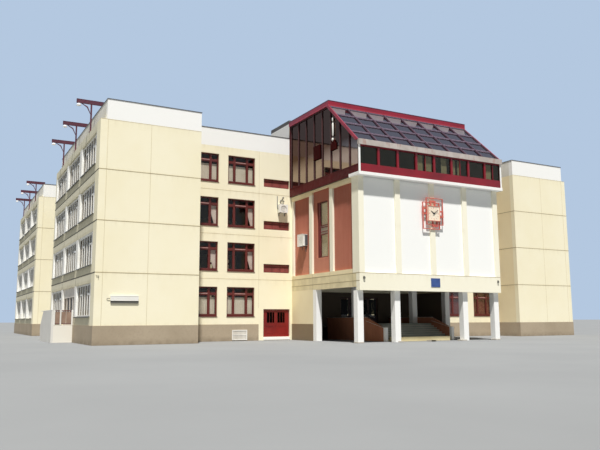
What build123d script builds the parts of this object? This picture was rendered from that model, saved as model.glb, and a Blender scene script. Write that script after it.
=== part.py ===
from build123d import *
import os

# School building, modelled at half its real size: 500 mm here is one metre of the building.
# X runs along the front, Y goes in from the front of the wings, Z is up from the ground.
# The origin is on the ground, on the plane of symmetry, in line with the front of the wings.

# Storeys
PLINTH_H = 600
STOREY_H = 1650
STOREYS = 4
PARAPET_H = 675
COPING_H = 20
COPING_LIP = 15
SLAB_T = 150
WALL_T = 200
PLINTH_LIP = 12

# Plan
HALF_FRONT = 10800
WING_W = 3400
WING_D = 9200
RECESS = 1500
BODY_D = 6200
HALF_HALL = 3100
HALL_OUT = 3200
REAR_BAR_Y = 15200

# Windows: heights from the floor and from the storey above, piers between them
SILL_H = 285
LINTEL_H = 295
WING_MARGIN = 140
PIER_W = 370
HALL_MARGIN = 100
STRIP_SILL = 280
STRIP_H = 325
FRAME_W = 35
FRAME_T = 50
REVEAL = 60
GLASS_T = 12
GLASS_LAP = 20

# Side, link and rear windows
SIDE_BAYS = 3
SIDE_MARGIN = 575
SIDE_MARGIN_BACK = 275
SIDE_PIER = 350
LINK_WINDOWS = 3
LINK_PIER = 1300
REAR_WINDOWS = 6
REAR_PIER = 1000

# Side entrance in the left recess
DOOR_Z = 125
DOOR_H = 1030
DOOR_SURROUND = 200
DOOR_FRAME_W = 40
VESTIBULE_D = 2400
VESTIBULE_RISERS = 6
LEAF_T = 25
LEAF_GAP = 5
MEETING_GAP = 8
LEAF_RAIL = 70
PANEL_T = 12
HANDLE_L = 150
HANDLE_OUT = 30
HANDLE_T = 10
KNUCKLE_R = 7
KNUCKLE_L = 60
KNUCKLE_GAP = 1
KNUCKLE_PLATE = 20

# Hall over the portico
HALL_BAYS = 4
FLANK_BAYS = 3
PILASTER_W = 210
PILASTER_T = 200
CORNER_POST_D = 400
BEAM_DROP = 550
FLANK_BEAM_DROP = 425
FRONT_CURB = 25
FLANK_CURB = 160
FLANK_HEAD_H = 175
MIDDLE_HEAD_H = 75
PANEL_BACK = 60
PANEL_WALL_T = 100
FLANK_POST_W = 210
FLANK_BACK_POST_W = 150
FLANK_PANEL_BACK = 75
TALL_WINDOW_W = 765
TALL_SILL = 715
TALL_HEAD = 500
CORNICE_T = 100
CORNICE_OUT = 225
CORNICE_SIDE = 100
CORNICE_RETURN = 500
CORNICE_CHAMFER = 90

# Portico
COLUMN_W = 225
COLUMN_BACK = 150
COLUMN_GAP = 10
FLANK_WALL_L = 1640
STAIR_HALF_W = 1450
RISERS = 8
TREAD = 150
LANDING_L = 2700
STAIR_WALL_T = 75
STAIR_WALL_LOW = 460
STAIR_WALL_RISE = 225
END_POST_W = 110
END_POST_H = 475
ENTRANCE_W = 1800
ENTRANCE_H = 1050
ENTRANCE_LEAVES = 4

# Glazed attic
ATTIC_SIDE = 75
ATTIC_OUT = 200
ATTIC_STEP = 25
ATTIC_SLAB_T = 75
ATTIC_SILL_H = 265
ATTIC_BAND_H = 645
GUTTER_H = 165
GUTTER_OUT = 60
SLOPE_RUN = 1890
ATTIC_RISE = 1350
FASCIA_H = 210
FASCIA_T = 40
RAKE_H = 100
ATTIC_FRAME_T = 40
ATTIC_BAR = 36
SLOPE_BAR = 15
SIDE_BAR = 12
FRONT_BAYS = 8
SLOPE_ROWS = 4
SIDE_PITCH = 600

# Roof block behind the attic
PENTHOUSE_D = 1650

# Lamp brackets over the side windows
BRACKET_RISE = 1140
BRACKET_OUT = 475
BRACKET_IN = 480
BRACKET_POST = 50
BEAM_H = 140
BEAM_W = 60
BEAM_WEB = 14
BRACE_L = 330
BRACE_T = 30
LAMP_R = 80
LAMP_H = 95
LAMP_TAPER = 20
LAMP_SIDES = 8

# Porch on the left side
PORCH_LANDING = 2100
PORCH_OUT = 725
PORCH_WALL_T = 75
PORCH_RAIL_H = 525
PORCH_WALL_TREADS = 5
RAIL_BAR = 20
RAIL_POST = 45
RAIL_PITCH = 75
SCREEN_LIGHTS = 4
SCREEN_HEAD = 350

# Clock on the middle pilaster
CLOCK_RISE = 2160
CLOCK_W = 540
CLOCK_T = 90
DIAL_RIM = 24
HAND_T = 8
HAND_GAP = 5
HOUR_L = 150
MINUTE_L = 215
HOUR_W = 34
MINUTE_W = 26
HUB_R = 24
ARBOR_R = 8
HOUR_ANGLE = 304.5
MINUTE_ANGLE = 54
OPEN_FRAME_W = 740
OPEN_FRAME_H = 950
FRAME_BAR = 20
RING_W = 240
RING_BAR = 50

# Air conditioners
AC_W = 360
AC_H = 315
AC_D = 170
AC_GAP = 20
AC_ASIDE = 160
AC_FAN_R = 115
AC_FAN_SIDES = 12
AC_RISE = 953
FLANK_AC_W = 400
FLANK_AC_H = 420
FLANK_AC_ASIDE = 285
FLANK_AC_RISE = 1250

# Levels
ROOF_Z = PLINTH_H + STOREYS * STOREY_H
PARAPET_TOP = ROOF_Z + PARAPET_H
HALL_FLOOR_Z = PLINTH_H + STOREY_H
SOFFIT_Z = HALL_FLOOR_Z - BEAM_DROP
FLANK_SOFFIT_Z = HALL_FLOOR_Z - FLANK_BEAM_DROP
FRONT_BEAM_TOP = HALL_FLOOR_Z + FRONT_CURB
FLANK_BEAM_TOP = HALL_FLOOR_Z + FLANK_CURB
ATTIC_FLOOR_Z = ROOF_Z - STOREY_H + ATTIC_STEP
HALL_HEAD_Z = ATTIC_FLOOR_Z - ATTIC_SLAB_T
FLANK_HEAD_Z = HALL_HEAD_Z - FLANK_HEAD_H
MIDDLE_HEAD_Z = HALL_HEAD_Z - MIDDLE_HEAD_H
ATTIC_SILL_TOP = ATTIC_FLOOR_Z + ATTIC_SILL_H
GUTTER_Z = ATTIC_SILL_TOP + ATTIC_BAND_H
EAVE_Z = GUTTER_Z + GUTTER_H
ATTIC_TOP = ROOF_Z + ATTIC_RISE
FASCIA_Z = ATTIC_TOP - FASCIA_H
PENTHOUSE_TOP = ATTIC_TOP + SLAB_T
BRACKET_TOP = ROOF_Z + BRACKET_RISE
DOOR_HEAD_Z = DOOR_Z + DOOR_H
CLOCK_Z = HALL_FLOOR_Z + CLOCK_RISE
RISE = PLINTH_H / RISERS

# Places in plan
WING_IN = HALF_FRONT - WING_W
BODY_BACK = RECESS + BODY_D
REAR_FACE = REAR_BAR_Y + BODY_BACK
COURT_FACE = REAR_BAR_Y + RECESS
HALL_FRONT = -HALL_OUT
WINDOW_W = (WING_IN - HALF_HALL - WING_MARGIN - HALL_MARGIN - 2 * PIER_W) / 3
SIDE_WINDOW_W = (WING_D - SIDE_MARGIN - SIDE_MARGIN_BACK - (SIDE_BAYS - 1) * SIDE_PIER) / SIDE_BAYS
DOOR_LEFT = -HALF_HALL - HALL_MARGIN - WINDOW_W
DOOR_RIGHT = -HALF_HALL - HALL_MARGIN
HALL_PITCH = (2 * HALF_HALL - PILASTER_W) / HALL_BAYS
FLANK_WALL_Y = RECESS - FLANK_WALL_L
STAIR_HEAD_Y = RECESS - LANDING_L
STAIR_FRONT_Y = STAIR_HEAD_Y - (RISERS - 1) * TREAD
ATTIC_X = HALF_HALL + ATTIC_SIDE
ATTIC_Y = HALL_FRONT - ATTIC_OUT
RIDGE_Y = ATTIC_Y + SLOPE_RUN
ATTIC_PITCH = 2 * ATTIC_X / FRONT_BAYS
SIDE_PITCH_Y = SIDE_WINDOW_W + SIDE_PIER
PORCH_Y = SIDE_MARGIN + SIDE_PITCH_Y

nodes = {}


def along_x(y):
    """A drawing plane that faces the front: across is X, up is Z, and depth goes in along Y."""
    return Plane(origin=(0, y, 0), x_dir=(1, 0, 0), z_dir=(0, -1, 0))


def along_y(x):
    """A drawing plane for a side: across is Y, up is Z, and depth goes along X."""
    return Plane(origin=(x, 0, 0), x_dir=(0, 1, 0), z_dir=(1, 0, 0))


def rect(u0, u1, v0, v1):
    return Pos((u0 + u1) / 2, (v0 + v1) / 2) * Rectangle(u1 - u0, v1 - v0)


def outline_face(points):
    return make_face(Polyline(points, close=True))


def box(x0, x1, y0, y1, z0, z1):
    return extrude(Pos(0, 0, z0) * rect(x0, x1, y0, y1), z1 - z0)


def front_sheet(y, thickness, outline, holes=()):
    """A sheet that stands along X, from y inwards, with the holes cut through."""
    drawing = outline - list(holes) if holes else outline
    return extrude(along_x(y) * drawing, -thickness)


def side_sheet(x, thickness, outline, holes=()):
    """A sheet that stands along Y, from x towards +X, with the holes cut through."""
    drawing = outline - list(holes) if holes else outline
    return extrude(along_y(x) * drawing, thickness)


def mirror_copy(solids):
    return [mirror(solid, about=Plane.YZ) for solid in solids]


def mirrored(solids):
    return list(solids) + mirror_copy(solids)


def both_bars(solids):
    return list(solids) + [Pos(0, REAR_BAR_Y, 0) * solid for solid in solids]


def all_wings(solids):
    return both_bars(mirrored(solids))


def add(name, solids):
    nodes.setdefault(name, []).extend(solids)


def inset(hole, edge):
    u0, u1, v0, v1 = hole
    return (u0 + edge, u1 - edge, v0 + edge, v1 - edge)


def floor_level(storey):
    return PLINTH_H + storey * STOREY_H


def window_hole(storey, left, width):
    """The outline of a full window: left and right edge, sill and head."""
    floor = floor_level(storey)
    return (left, left + width, floor + SILL_H, floor + STOREY_H - LINTEL_H)


def strip_hole(storey):
    low = floor_level(storey) + STRIP_SILL
    return (DOOR_LEFT, DOOR_RIGHT, low, low + STRIP_H)


def recess_left(column):
    return -WING_IN + WING_MARGIN + column * (WINDOW_W + PIER_W)


def recess_holes(storey, columns):
    return [window_hole(storey, recess_left(column), WINDOW_W) for column in range(columns)]


def side_holes(storey):
    return [window_hole(storey, SIDE_MARGIN + bay * SIDE_PITCH_Y, SIDE_WINDOW_W)
            for bay in range(SIDE_BAYS)]


def even_holes(storey, start, end, count, pier):
    """Windows of one width, evenly spaced between two ends with half a pier at each."""
    pitch = (end - start) / count
    return [window_hole(storey, start + bay * pitch + pier / 2, pitch - pier) for bay in range(count)]


def glazed(holes, make_sheet, face):
    """A frame and a pane for each hole of a wall, set back from its outer face."""
    frames = []
    panes = []
    for hole in holes:
        light = rect(*inset(hole, FRAME_W))
        frames.append(make_sheet(face + REVEAL, FRAME_T, rect(*hole), [light]))
        panes.append(make_sheet(face + REVEAL + (FRAME_T - GLASS_T) / 2, GLASS_T, light))
    return frames, panes


def glass_band(holes, make_sheet, face, thickness):
    """One sheet of glass behind all the windows of a storey, on the inner face of the wall."""
    left = min(hole[0] for hole in holes) - GLASS_LAP
    right = max(hole[1] for hole in holes) + GLASS_LAP
    return make_sheet(face, thickness, rect(left, right, holes[0][2] - GLASS_LAP, holes[0][3] + GLASS_LAP))


def by_storey(make_holes):
    return [make_holes(storey) for storey in range(STOREYS)]


def flat(lists):
    return [item for one in lists for item in one]


def rects(holes):
    return [rect(*hole) for hole in holes]


def wings():
    """Blank gables, windowed side walls and the short returns into the recess."""
    outer = -HALF_FRONT
    gable = front_sheet(0, WALL_T, rect(outer + WALL_T, -WING_IN, PLINTH_H, ROOF_Z))
    add("gable_walls", all_wings([gable, Pos(0, WING_D - WALL_T, 0) * gable]))
    front_return = box(-WING_IN - WALL_T, -WING_IN, WALL_T, RECESS + WALL_T, PLINTH_H, ROOF_Z)
    back_return = box(-WING_IN - WALL_T, -WING_IN, BODY_BACK - WALL_T, WING_D - WALL_T, PLINTH_H, ROOF_Z)
    add("wing_return_walls", all_wings([front_return, back_return]))

    whole = rect(0, WING_D, PLINTH_H, ROOF_Z)
    holes = flat(by_storey(side_holes))
    entrance = porch_hole()
    porch_holes = [hole for hole in holes if hole[:2] != entrance[:2] or hole[2] > STOREY_H]
    plain = side_sheet(outer, WALL_T, whole, rects(holes))
    with_porch = side_sheet(outer, WALL_T, whole, rects(porch_holes + [entrance]))
    rear = Pos(0, REAR_BAR_Y, 0) * plain
    add("side_walls", [with_porch, rear] + mirror_copy([plain, rear]))

    frames, panes = glazed(holes, side_sheet, outer)
    porch_frames, porch_panes = glazed(porch_holes, side_sheet, outer)
    add("side_window_frames", porch_frames + mirror_copy(frames))
    add("window_glass", porch_panes + mirror_copy(panes))
    bands = [glass_band(row, side_sheet, outer + WALL_T, GLASS_T) for row in by_storey(side_holes)]
    add("window_glass", mirrored([Pos(0, REAR_BAR_Y, 0) * band for band in bands]))


def porch_hole():
    """The doorway behind the left porch, in the middle bay of the ground storey."""
    window = side_holes(0)[1]
    return (window[0], window[1], PLINTH_H, window[3])


def porch_screen():
    """Fixed glazed doors that fill the doorway behind the porch, under a solid head panel."""
    left, right, low, high = porch_hole()
    pitch = (right - left - FRAME_W) / SCREEN_LIGHTS
    lights = []
    for index in range(SCREEN_LIGHTS):
        start = left + FRAME_W + index * pitch
        lights.append(rect(start, start + pitch - FRAME_W, low + 2 * FRAME_W, high - SCREEN_HEAD))
    face = -HALF_FRONT + REVEAL
    add("porch_screen", [side_sheet(face, FRAME_T, rect(left, right, low, high), lights)])
    glass = face + (FRAME_T - GLASS_T) / 2
    add("window_glass", [side_sheet(glass, GLASS_T, light) for light in lights])


def recess_fronts():
    """The set back fronts beside the hall, with the side entrance in the left one."""
    holes = flat([recess_holes(storey, 2) for storey in range(STOREYS)])
    strips = [strip_hole(storey) for storey in range(STOREYS)]
    left = front_sheet(RECESS, WALL_T, rect(-WING_IN, DOOR_LEFT, PLINTH_H, ROOF_Z), rects(holes))
    bay = front_sheet(RECESS, WALL_T, rect(DOOR_LEFT, -HALF_HALL, DOOR_HEAD_Z, ROOF_Z),
                      rects(strips[1:]))
    right = front_sheet(RECESS, WALL_T, rect(-WING_IN, -HALF_HALL, PLINTH_H, ROOF_Z),
                        rects(holes + strips))
    add("recess_walls", [left] + mirror_copy([right]))
    add("door_bay_wall", [bay])
    left_frames, left_panes = glazed(holes + strips[1:], front_sheet, RECESS)
    right_frames, right_panes = glazed(holes + strips, front_sheet, RECESS)
    add("front_window_frames", left_frames + mirror_copy(right_frames))
    add("window_glass", left_panes + mirror_copy(right_panes))


def courts():
    """Walls that face the two courts, and the rear front."""
    outline = rect(-WING_IN, -HALF_HALL, PLINTH_H, ROOF_Z)
    rows = by_storey(lambda storey: recess_holes(storey, 3))
    front_bar_back = front_sheet(BODY_BACK - WALL_T, WALL_T, outline, rects(flat(rows)))
    rear_bar_front = front_sheet(COURT_FACE, WALL_T, outline, rects(flat(rows)))
    add("court_walls", mirrored([front_bar_back, rear_bar_front]))
    for row in rows:
        near = glass_band(row, front_sheet, BODY_BACK - WALL_T - GLASS_T, GLASS_T)
        far = glass_band(row, front_sheet, COURT_FACE + WALL_T, GLASS_T)
        add("window_glass", mirrored([near, far]))

    rear_rows = by_storey(lambda storey: even_holes(storey, -WING_IN, WING_IN, REAR_WINDOWS, REAR_PIER))
    rear_outline = rect(-WING_IN, WING_IN, PLINTH_H, ROOF_Z)
    add("court_walls", [front_sheet(REAR_FACE - WALL_T, WALL_T, rear_outline, rects(flat(rear_rows)))])
    add("window_glass", [glass_band(row, front_sheet, REAR_FACE - WALL_T - GLASS_T, GLASS_T)
                         for row in rear_rows])


def link():
    """The link between the two bars, with windows over both courts."""
    start = BODY_BACK - WALL_T
    end = COURT_FACE + WALL_T
    rows = by_storey(lambda storey: even_holes(storey, start, end, LINK_WINDOWS, LINK_PIER))
    wall = side_sheet(-HALF_HALL, WALL_T, rect(start, end, PLINTH_H, ROOF_Z), rects(flat(rows)))
    add("link_walls", mirrored([wall]))
    inner = -HALF_HALL + WALL_T
    add("window_glass", mirrored([glass_band(row, side_sheet, inner, GLASS_T) for row in rows]))


def plinths():
    """The base under every outer wall, a little proud of it."""
    lip = PLINTH_LIP
    outer = -HALF_FRONT - lip
    inner = -HALF_FRONT + WALL_T
    runs = [(inner, -WING_IN, -lip, WALL_T), (inner, -WING_IN, WING_D - WALL_T, WING_D + lip)]
    add("plinth_fronts", all_wings([box(*run, 0, PLINTH_H) for run in runs]))
    courts_run = [(-WING_IN, -HALF_HALL, BODY_BACK - WALL_T, BODY_BACK + lip),
                  (-WING_IN, -HALF_HALL, COURT_FACE - lip, COURT_FACE + WALL_T)]
    add("plinth_fronts", mirrored([box(*run, 0, PLINTH_H) for run in courts_run]))
    singles = [(-WING_IN, DOOR_LEFT - DOOR_SURROUND, RECESS - lip, RECESS + WALL_T),
               (HALF_HALL, WING_IN, RECESS - lip, RECESS + WALL_T),
               (-WING_IN, WING_IN, REAR_FACE - WALL_T, REAR_FACE + lip)]
    add("plinth_fronts", [box(*run, 0, PLINTH_H) for run in singles])

    sides = [(outer, inner, -lip, WING_D + lip),
             (-WING_IN - WALL_T, -WING_IN, WALL_T, RECESS + WALL_T),
             (-WING_IN - WALL_T, -WING_IN, BODY_BACK - WALL_T, WING_D - WALL_T)]
    add("plinth_sides", all_wings([box(*run, 0, PLINTH_H) for run in sides]))
    middle = [(-HALF_HALL, -HALF_HALL + WALL_T, BODY_BACK - WALL_T, COURT_FACE + WALL_T),
              (-HALF_HALL - lip, -HALF_HALL + WALL_T, FLANK_WALL_Y, RECESS - lip)]
    add("plinth_sides", mirrored([box(*run, 0, PLINTH_H) for run in middle]))


def slabs():
    """A floor at each storey and a roof, in the wings, the bars and the link."""
    inner = WING_IN + WALL_T
    for storey in range(STOREYS + 1):
        top = floor_level(storey)
        low = top - SLAB_T
        wing = box(-HALF_FRONT + WALL_T, -inner, WALL_T, WING_D - WALL_T, low, top)
        middle = box(-HALF_HALL + WALL_T, HALF_HALL - WALL_T, BODY_BACK - WALL_T,
                     COURT_FACE + WALL_T, low, top)
        add("wing_and_link_slabs", all_wings([wing]) + [middle])
        bar = box(-inner, inner, RECESS + WALL_T, BODY_BACK - WALL_T, low, top)
        front = bar - box(*vestibule_plan(), low, top) if storey == 0 else bar
        add("bar_slabs", [front, Pos(0, REAR_BAR_Y, 0) * bar])


def vestibule_plan():
    return (DOOR_LEFT, -HALF_HALL, RECESS + WALL_T, RECESS + WALL_T + VESTIBULE_D)


def vestibule():
    """The floor just inside the side entrance, level with its threshold, with steps up inside."""
    x0, x1, y0, y1 = vestibule_plan()
    rise = (PLINTH_H - DOOR_Z) / VESTIBULE_RISERS
    first = y1 - VESTIBULE_RISERS * TREAD
    outline = [(y0, 0), (y0, DOOR_Z)]
    for step in range(VESTIBULE_RISERS):
        y = first + step * TREAD
        outline += [(y, DOOR_Z + step * rise), (y, DOOR_Z + (step + 1) * rise)]
    outline += [(y1, PLINTH_H), (y1, 0)]
    add("side_steps", [extrude(along_y(x0) * outline_face(outline), x1 - x0)])


def parapet_runs():
    """Plan rectangles of the parapets over the left half: runs along X, then runs along Y."""
    outer = -HALF_FRONT + WALL_T
    gables = [(outer, -WING_IN, y, y + WALL_T) for y in (0, WING_D - WALL_T)]
    returns = [(outer, outer + WALL_T, WALL_T, WING_D - WALL_T),
               (-WING_IN - WALL_T, -WING_IN, WALL_T, RECESS + WALL_T),
               (-WING_IN - WALL_T, -WING_IN, BODY_BACK - WALL_T, WING_D - WALL_T)]
    cross = gables + [shift_y(run) for run in gables]
    cross += [(-WING_IN, -HALF_HALL, y, y + WALL_T) for y in (RECESS, BODY_BACK - WALL_T, COURT_FACE)]
    long = returns + [shift_y(run) for run in returns]
    long.append((-HALF_HALL, -HALF_HALL + WALL_T, BODY_BACK - WALL_T, COURT_FACE + WALL_T))
    return cross, long


def shift_y(run):
    x0, x1, y0, y1 = run
    return (x0, x1, y0 + REAR_BAR_Y, y1 + REAR_BAR_Y)


def parapets():
    """White parapets set back from the side walls, under one dark coping."""
    cross, long = parapet_runs()
    rear = (-WING_IN, WING_IN, REAR_FACE - WALL_T, REAR_FACE)
    add("cross_parapets", mirrored([box(*run, ROOF_Z, PARAPET_TOP) for run in cross]))
    add("cross_parapets", [box(*rear, ROOF_Z, PARAPET_TOP)])
    add("long_parapets", mirrored([box(*run, ROOF_Z, PARAPET_TOP) for run in long]))

    lip = COPING_LIP
    strips = [rect(x0 - lip, x1 + lip, y0 - lip, y1 + lip) for x0, x1, y0, y1 in cross + long]
    half = Sketch() + strips
    hall = rect(-ATTIC_X, ATTIC_X, HALL_FRONT, RECESS + WALL_T + PENTHOUSE_D)
    over_rear = rect(rear[0] - lip, rear[1] + lip, rear[2] - lip, rear[3] + lip)
    whole = half + mirror(half, about=Plane.YZ) + over_rear - hall
    add("copings", extrude(Pos(0, 0, PARAPET_TOP) * whole, COPING_H).solids())


def flank_post_spans():
    """The Y ranges of the flank's posts, behind the corner pilaster."""
    front = HALL_FRONT + CORNER_POST_D
    back = RECESS - FLANK_BACK_POST_W
    bay = (back - front - (FLANK_BAYS - 1) * FLANK_POST_W) / FLANK_BAYS
    spans = []
    for index in range(1, FLANK_BAYS):
        low = front + index * bay + (index - 1) * FLANK_POST_W
        spans.append((low, low + FLANK_POST_W))
    return spans + [(back, RECESS)]


def flank_bay_spans():
    edges = [HALL_FRONT + CORNER_POST_D] + flat(flank_post_spans())
    return [(edges[2 * index], edges[2 * index + 1]) for index in range(FLANK_BAYS)]


def hall_posts():
    """Pilasters across the front and posts down the flanks."""
    posts = []
    for index in range(HALL_BAYS + 1):
        left = -HALF_HALL + index * HALL_PITCH
        depth = CORNER_POST_D if index in (0, HALL_BAYS) else PILASTER_T
        posts.append(box(left, left + PILASTER_W, HALL_FRONT, HALL_FRONT + depth,
                         FRONT_BEAM_TOP, HALL_HEAD_Z))
    flank = [box(-HALF_HALL, -HALF_HALL + WALL_T, low, high, FLANK_BEAM_TOP, FLANK_HEAD_Z)
             for low, high in flank_post_spans()]
    add("hall_posts", posts + mirrored(flank))


def hall_panels():
    """White panels between the pilasters, terracotta ones between the flank posts."""
    panels = []
    for index in range(HALL_BAYS):
        left = -HALF_HALL + PILASTER_W + index * HALL_PITCH
        outline = rect(left, left + HALL_PITCH - PILASTER_W, FRONT_BEAM_TOP, HALL_HEAD_Z)
        panels.append(front_sheet(HALL_FRONT + PANEL_BACK, PANEL_WALL_T, outline))
    add("hall_front_panels", panels)

    bays = flank_bay_spans()
    centre = sum(bays[1]) / 2
    window = (centre - TALL_WINDOW_W / 2, centre + TALL_WINDOW_W / 2,
              HALL_FLOOR_Z + TALL_SILL, HALL_HEAD_Z - TALL_HEAD)
    face = -HALF_HALL + FLANK_PANEL_BACK
    flank = []
    for index, (low, high) in enumerate(bays):
        holes = [rect(*window)] if index == 1 else []
        top = MIDDLE_HEAD_Z if index == 1 else FLANK_HEAD_Z
        flank.append(side_sheet(face, PANEL_WALL_T, rect(low, high, FLANK_BEAM_TOP, top), holes))
    add("hall_flank_panels", mirrored(flank))
    frames, panes = glazed([window], side_sheet, face + PANEL_WALL_T - FRAME_T - REVEAL)
    add("front_window_frames", mirrored(frames))
    add("window_glass", mirrored(panes))


def hall_beams():
    """Deep beams that carry the hall over the portico, and the heads of its flanks."""
    inner = -HALF_HALL + WALL_T
    add("hall_front_beam", [box(-HALF_HALL, HALF_HALL, HALL_FRONT, HALL_FRONT + WALL_T,
                                SOFFIT_Z, FRONT_BEAM_TOP)])
    behind_post = HALL_FRONT + CORNER_POST_D
    profile = outline_face([(HALL_FRONT + WALL_T, FLANK_SOFFIT_Z), (HALL_FRONT + WALL_T, FRONT_BEAM_TOP),
                            (behind_post, FRONT_BEAM_TOP), (behind_post, FLANK_BEAM_TOP),
                            (RECESS, FLANK_BEAM_TOP), (RECESS, FLANK_SOFFIT_Z)])
    low = extrude(along_y(-HALF_HALL) * profile, WALL_T)
    notch = rect(*flank_bay_spans()[1], FLANK_HEAD_Z, MIDDLE_HEAD_Z)
    head = side_sheet(-HALF_HALL, WALL_T, rect(behind_post, RECESS, FLANK_HEAD_Z, HALL_HEAD_Z), [notch])
    add("hall_flank_beams", mirrored([low, head]))
    add("portico_side_walls", mirrored([
        box(-HALF_HALL, inner, FLANK_WALL_Y, RECESS, PLINTH_H, FLANK_SOFFIT_Z)]))


def hall_slabs():
    """The floor of the hall and the attic's, which carries the glass sides."""
    inner = HALF_HALL - WALL_T
    low = box(-inner, inner, HALL_FRONT + WALL_T, RECESS, HALL_FLOOR_Z - SLAB_T, HALL_FLOOR_Z)
    deck = rect(-HALF_HALL, HALF_HALL, HALL_FRONT, RECESS)
    deck += rect(-ATTIC_X, ATTIC_X, HALL_FRONT + CORNICE_RETURN, RECESS)
    add("hall_slabs", [low, extrude(Pos(0, 0, HALL_HEAD_Z) * deck, ATTIC_SLAB_T)])


def hall_rear_wall():
    """The wall behind the portico, the hall and the attic, with the main doors fixed in it."""
    doorway = (-ENTRANCE_W / 2, ENTRANCE_W / 2, PLINTH_H, PLINTH_H + ENTRANCE_H)
    whole = rect(-HALF_HALL, HALF_HALL, PLINTH_H, ATTIC_TOP)
    add("hall_rear_wall", [front_sheet(RECESS, WALL_T, whole, [rect(*doorway)])])
    leaf_w = ENTRANCE_W / ENTRANCE_LEAVES
    lights = []
    for index in range(ENTRANCE_LEAVES):
        left = -ENTRANCE_W / 2 + index * leaf_w
        lights.append(rect(left + LEAF_RAIL / 2, left + leaf_w - LEAF_RAIL / 2,
                           PLINTH_H + 3 * LEAF_RAIL, doorway[3] - LEAF_RAIL))
    add("entrance_doors", [front_sheet(RECESS + REVEAL, FRAME_T, rect(*doorway), lights)])
    glass = RECESS + REVEAL + (FRAME_T - GLASS_T) / 2
    add("window_glass", [front_sheet(glass, GLASS_T, light) for light in lights])


def cornice():
    """A thin white ledge over the hall front that returns round both corners."""
    out_x = HALF_HALL + CORNICE_SIDE
    out_y = HALL_FRONT - CORNICE_OUT
    back_y = HALL_FRONT + CORNICE_RETURN
    half = outline_face([(0, out_y), (out_x, out_y), (out_x, back_y - CORNICE_CHAMFER),
                         (HALF_HALL, back_y), (HALF_HALL, HALL_FRONT), (0, HALL_FRONT)])
    whole = half + mirror(half, about=Plane.YZ)
    add("hall_cornice", [extrude(Pos(0, 0, ATTIC_FLOOR_Z - CORNICE_T) * whole, CORNICE_T)])


def column(x, y, low, high):
    return box(x, x + COLUMN_W, y, y + COLUMN_W, low, high)


def portico_columns():
    """Two rows of square columns: the inner pair of the back row stands on the landing."""
    front_y = HALL_FRONT + COLUMN_BACK
    back_y = FLANK_WALL_Y - COLUMN_GAP - COLUMN_W
    second_x = -HALF_HALL + HALL_PITCH + (PILASTER_W - COLUMN_W) / 2
    add("portico_columns", mirrored([
        column(-HALF_HALL, front_y, 0, SOFFIT_Z),
        column(second_x, front_y, 0, SOFFIT_Z),
        column(-HALF_HALL, back_y, 0, FLANK_SOFFIT_Z),
        column(-STAIR_HALF_W, back_y, PLINTH_H, HALL_FLOOR_Z - SLAB_T)]))


def stair_outline(front, treads, back):
    """The side outline of a flight that rises along Y and runs on as a landing."""
    points = [(front, 0)]
    for step in range(treads + 1):
        y = front + step * TREAD
        points += [(y, (step + 1) * RISE), (y + TREAD, (step + 1) * RISE)]
    return points[:-1] + [(back, PLINTH_H), (back, 0)]


def entrance_steps():
    """The flight and landing of the main entrance between sloping side walls."""
    flight = outline_face(stair_outline(STAIR_FRONT_Y, RISERS - 1, RECESS))
    add("entrance_steps", [extrude(along_y(-STAIR_HALF_W) * flight, 2 * STAIR_HALF_W)])
    level = PLINTH_H + STAIR_WALL_RISE
    wall = outline_face([(STAIR_FRONT_Y, 0), (STAIR_FRONT_Y, STAIR_WALL_LOW), (STAIR_HEAD_Y, level),
                         (RECESS, level), (RECESS, 0)])
    outer = -STAIR_HALF_W - STAIR_WALL_T
    add("stair_walls", mirrored([extrude(along_y(outer) * wall, STAIR_WALL_T)]))
    add("stair_end_posts", mirrored([
        box(outer, outer + END_POST_W, STAIR_FRONT_Y - END_POST_W, STAIR_FRONT_Y, 0, END_POST_H)]))


def slope_length():
    return ((SLOPE_RUN - FASCIA_T) ** 2 + (FASCIA_Z - EAVE_Z) ** 2) ** 0.5


def slope_offset(thickness):
    """How far a sheet of this thickness reaches back under the slope, measured level."""
    return thickness * slope_length() / (FASCIA_Z - EAVE_Z)


def slope_profile(thickness):
    """The side outline of a sheet that lies along the slope, cut level at its foot and head."""
    back = slope_offset(thickness)
    head = RIDGE_Y - FASCIA_T
    return outline_face([(ATTIC_Y, EAVE_Z), (ATTIC_Y + back, EAVE_Z),
                         (head + back, FASCIA_Z), (head, FASCIA_Z)])


def attic_side_outline():
    """The five sides of the attic's end, under the slope and behind the front band."""
    under = slope_offset(ATTIC_FRAME_T)
    front = ATTIC_Y + ATTIC_FRAME_T
    return [(front, ATTIC_FLOOR_Z), (front, EAVE_Z), (ATTIC_Y + under, EAVE_Z),
            (RIDGE_Y - FASCIA_T + under, FASCIA_Z), (RECESS, FASCIA_Z), (RECESS, ATTIC_FLOOR_Z)]


def attic_sides():
    """Each side is a rim and slender mullions, with one sheet of glass behind them."""
    whole = outline_face(attic_side_outline())
    inner = offset(whole, -ATTIC_BAR, kind=Kind.INTERSECTION)
    lights = []
    count = int((RECESS - ATTIC_Y) / SIDE_PITCH) + 1
    for index in range(count):
        left = ATTIC_Y + index * SIDE_PITCH
        strip = rect(left + SIDE_BAR, left + SIDE_PITCH - SIDE_BAR, ATTIC_FLOOR_Z, ATTIC_TOP)
        lights += (inner & strip).faces()
    add("attic_side_frames", mirrored([side_sheet(-ATTIC_X, ATTIC_FRAME_T, whole, lights)]))
    pane = offset(whole, -ATTIC_BAR / 2, kind=Kind.INTERSECTION)
    add("attic_glass", mirrored([side_sheet(-ATTIC_X + ATTIC_FRAME_T, GLASS_T, pane)]))


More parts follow.
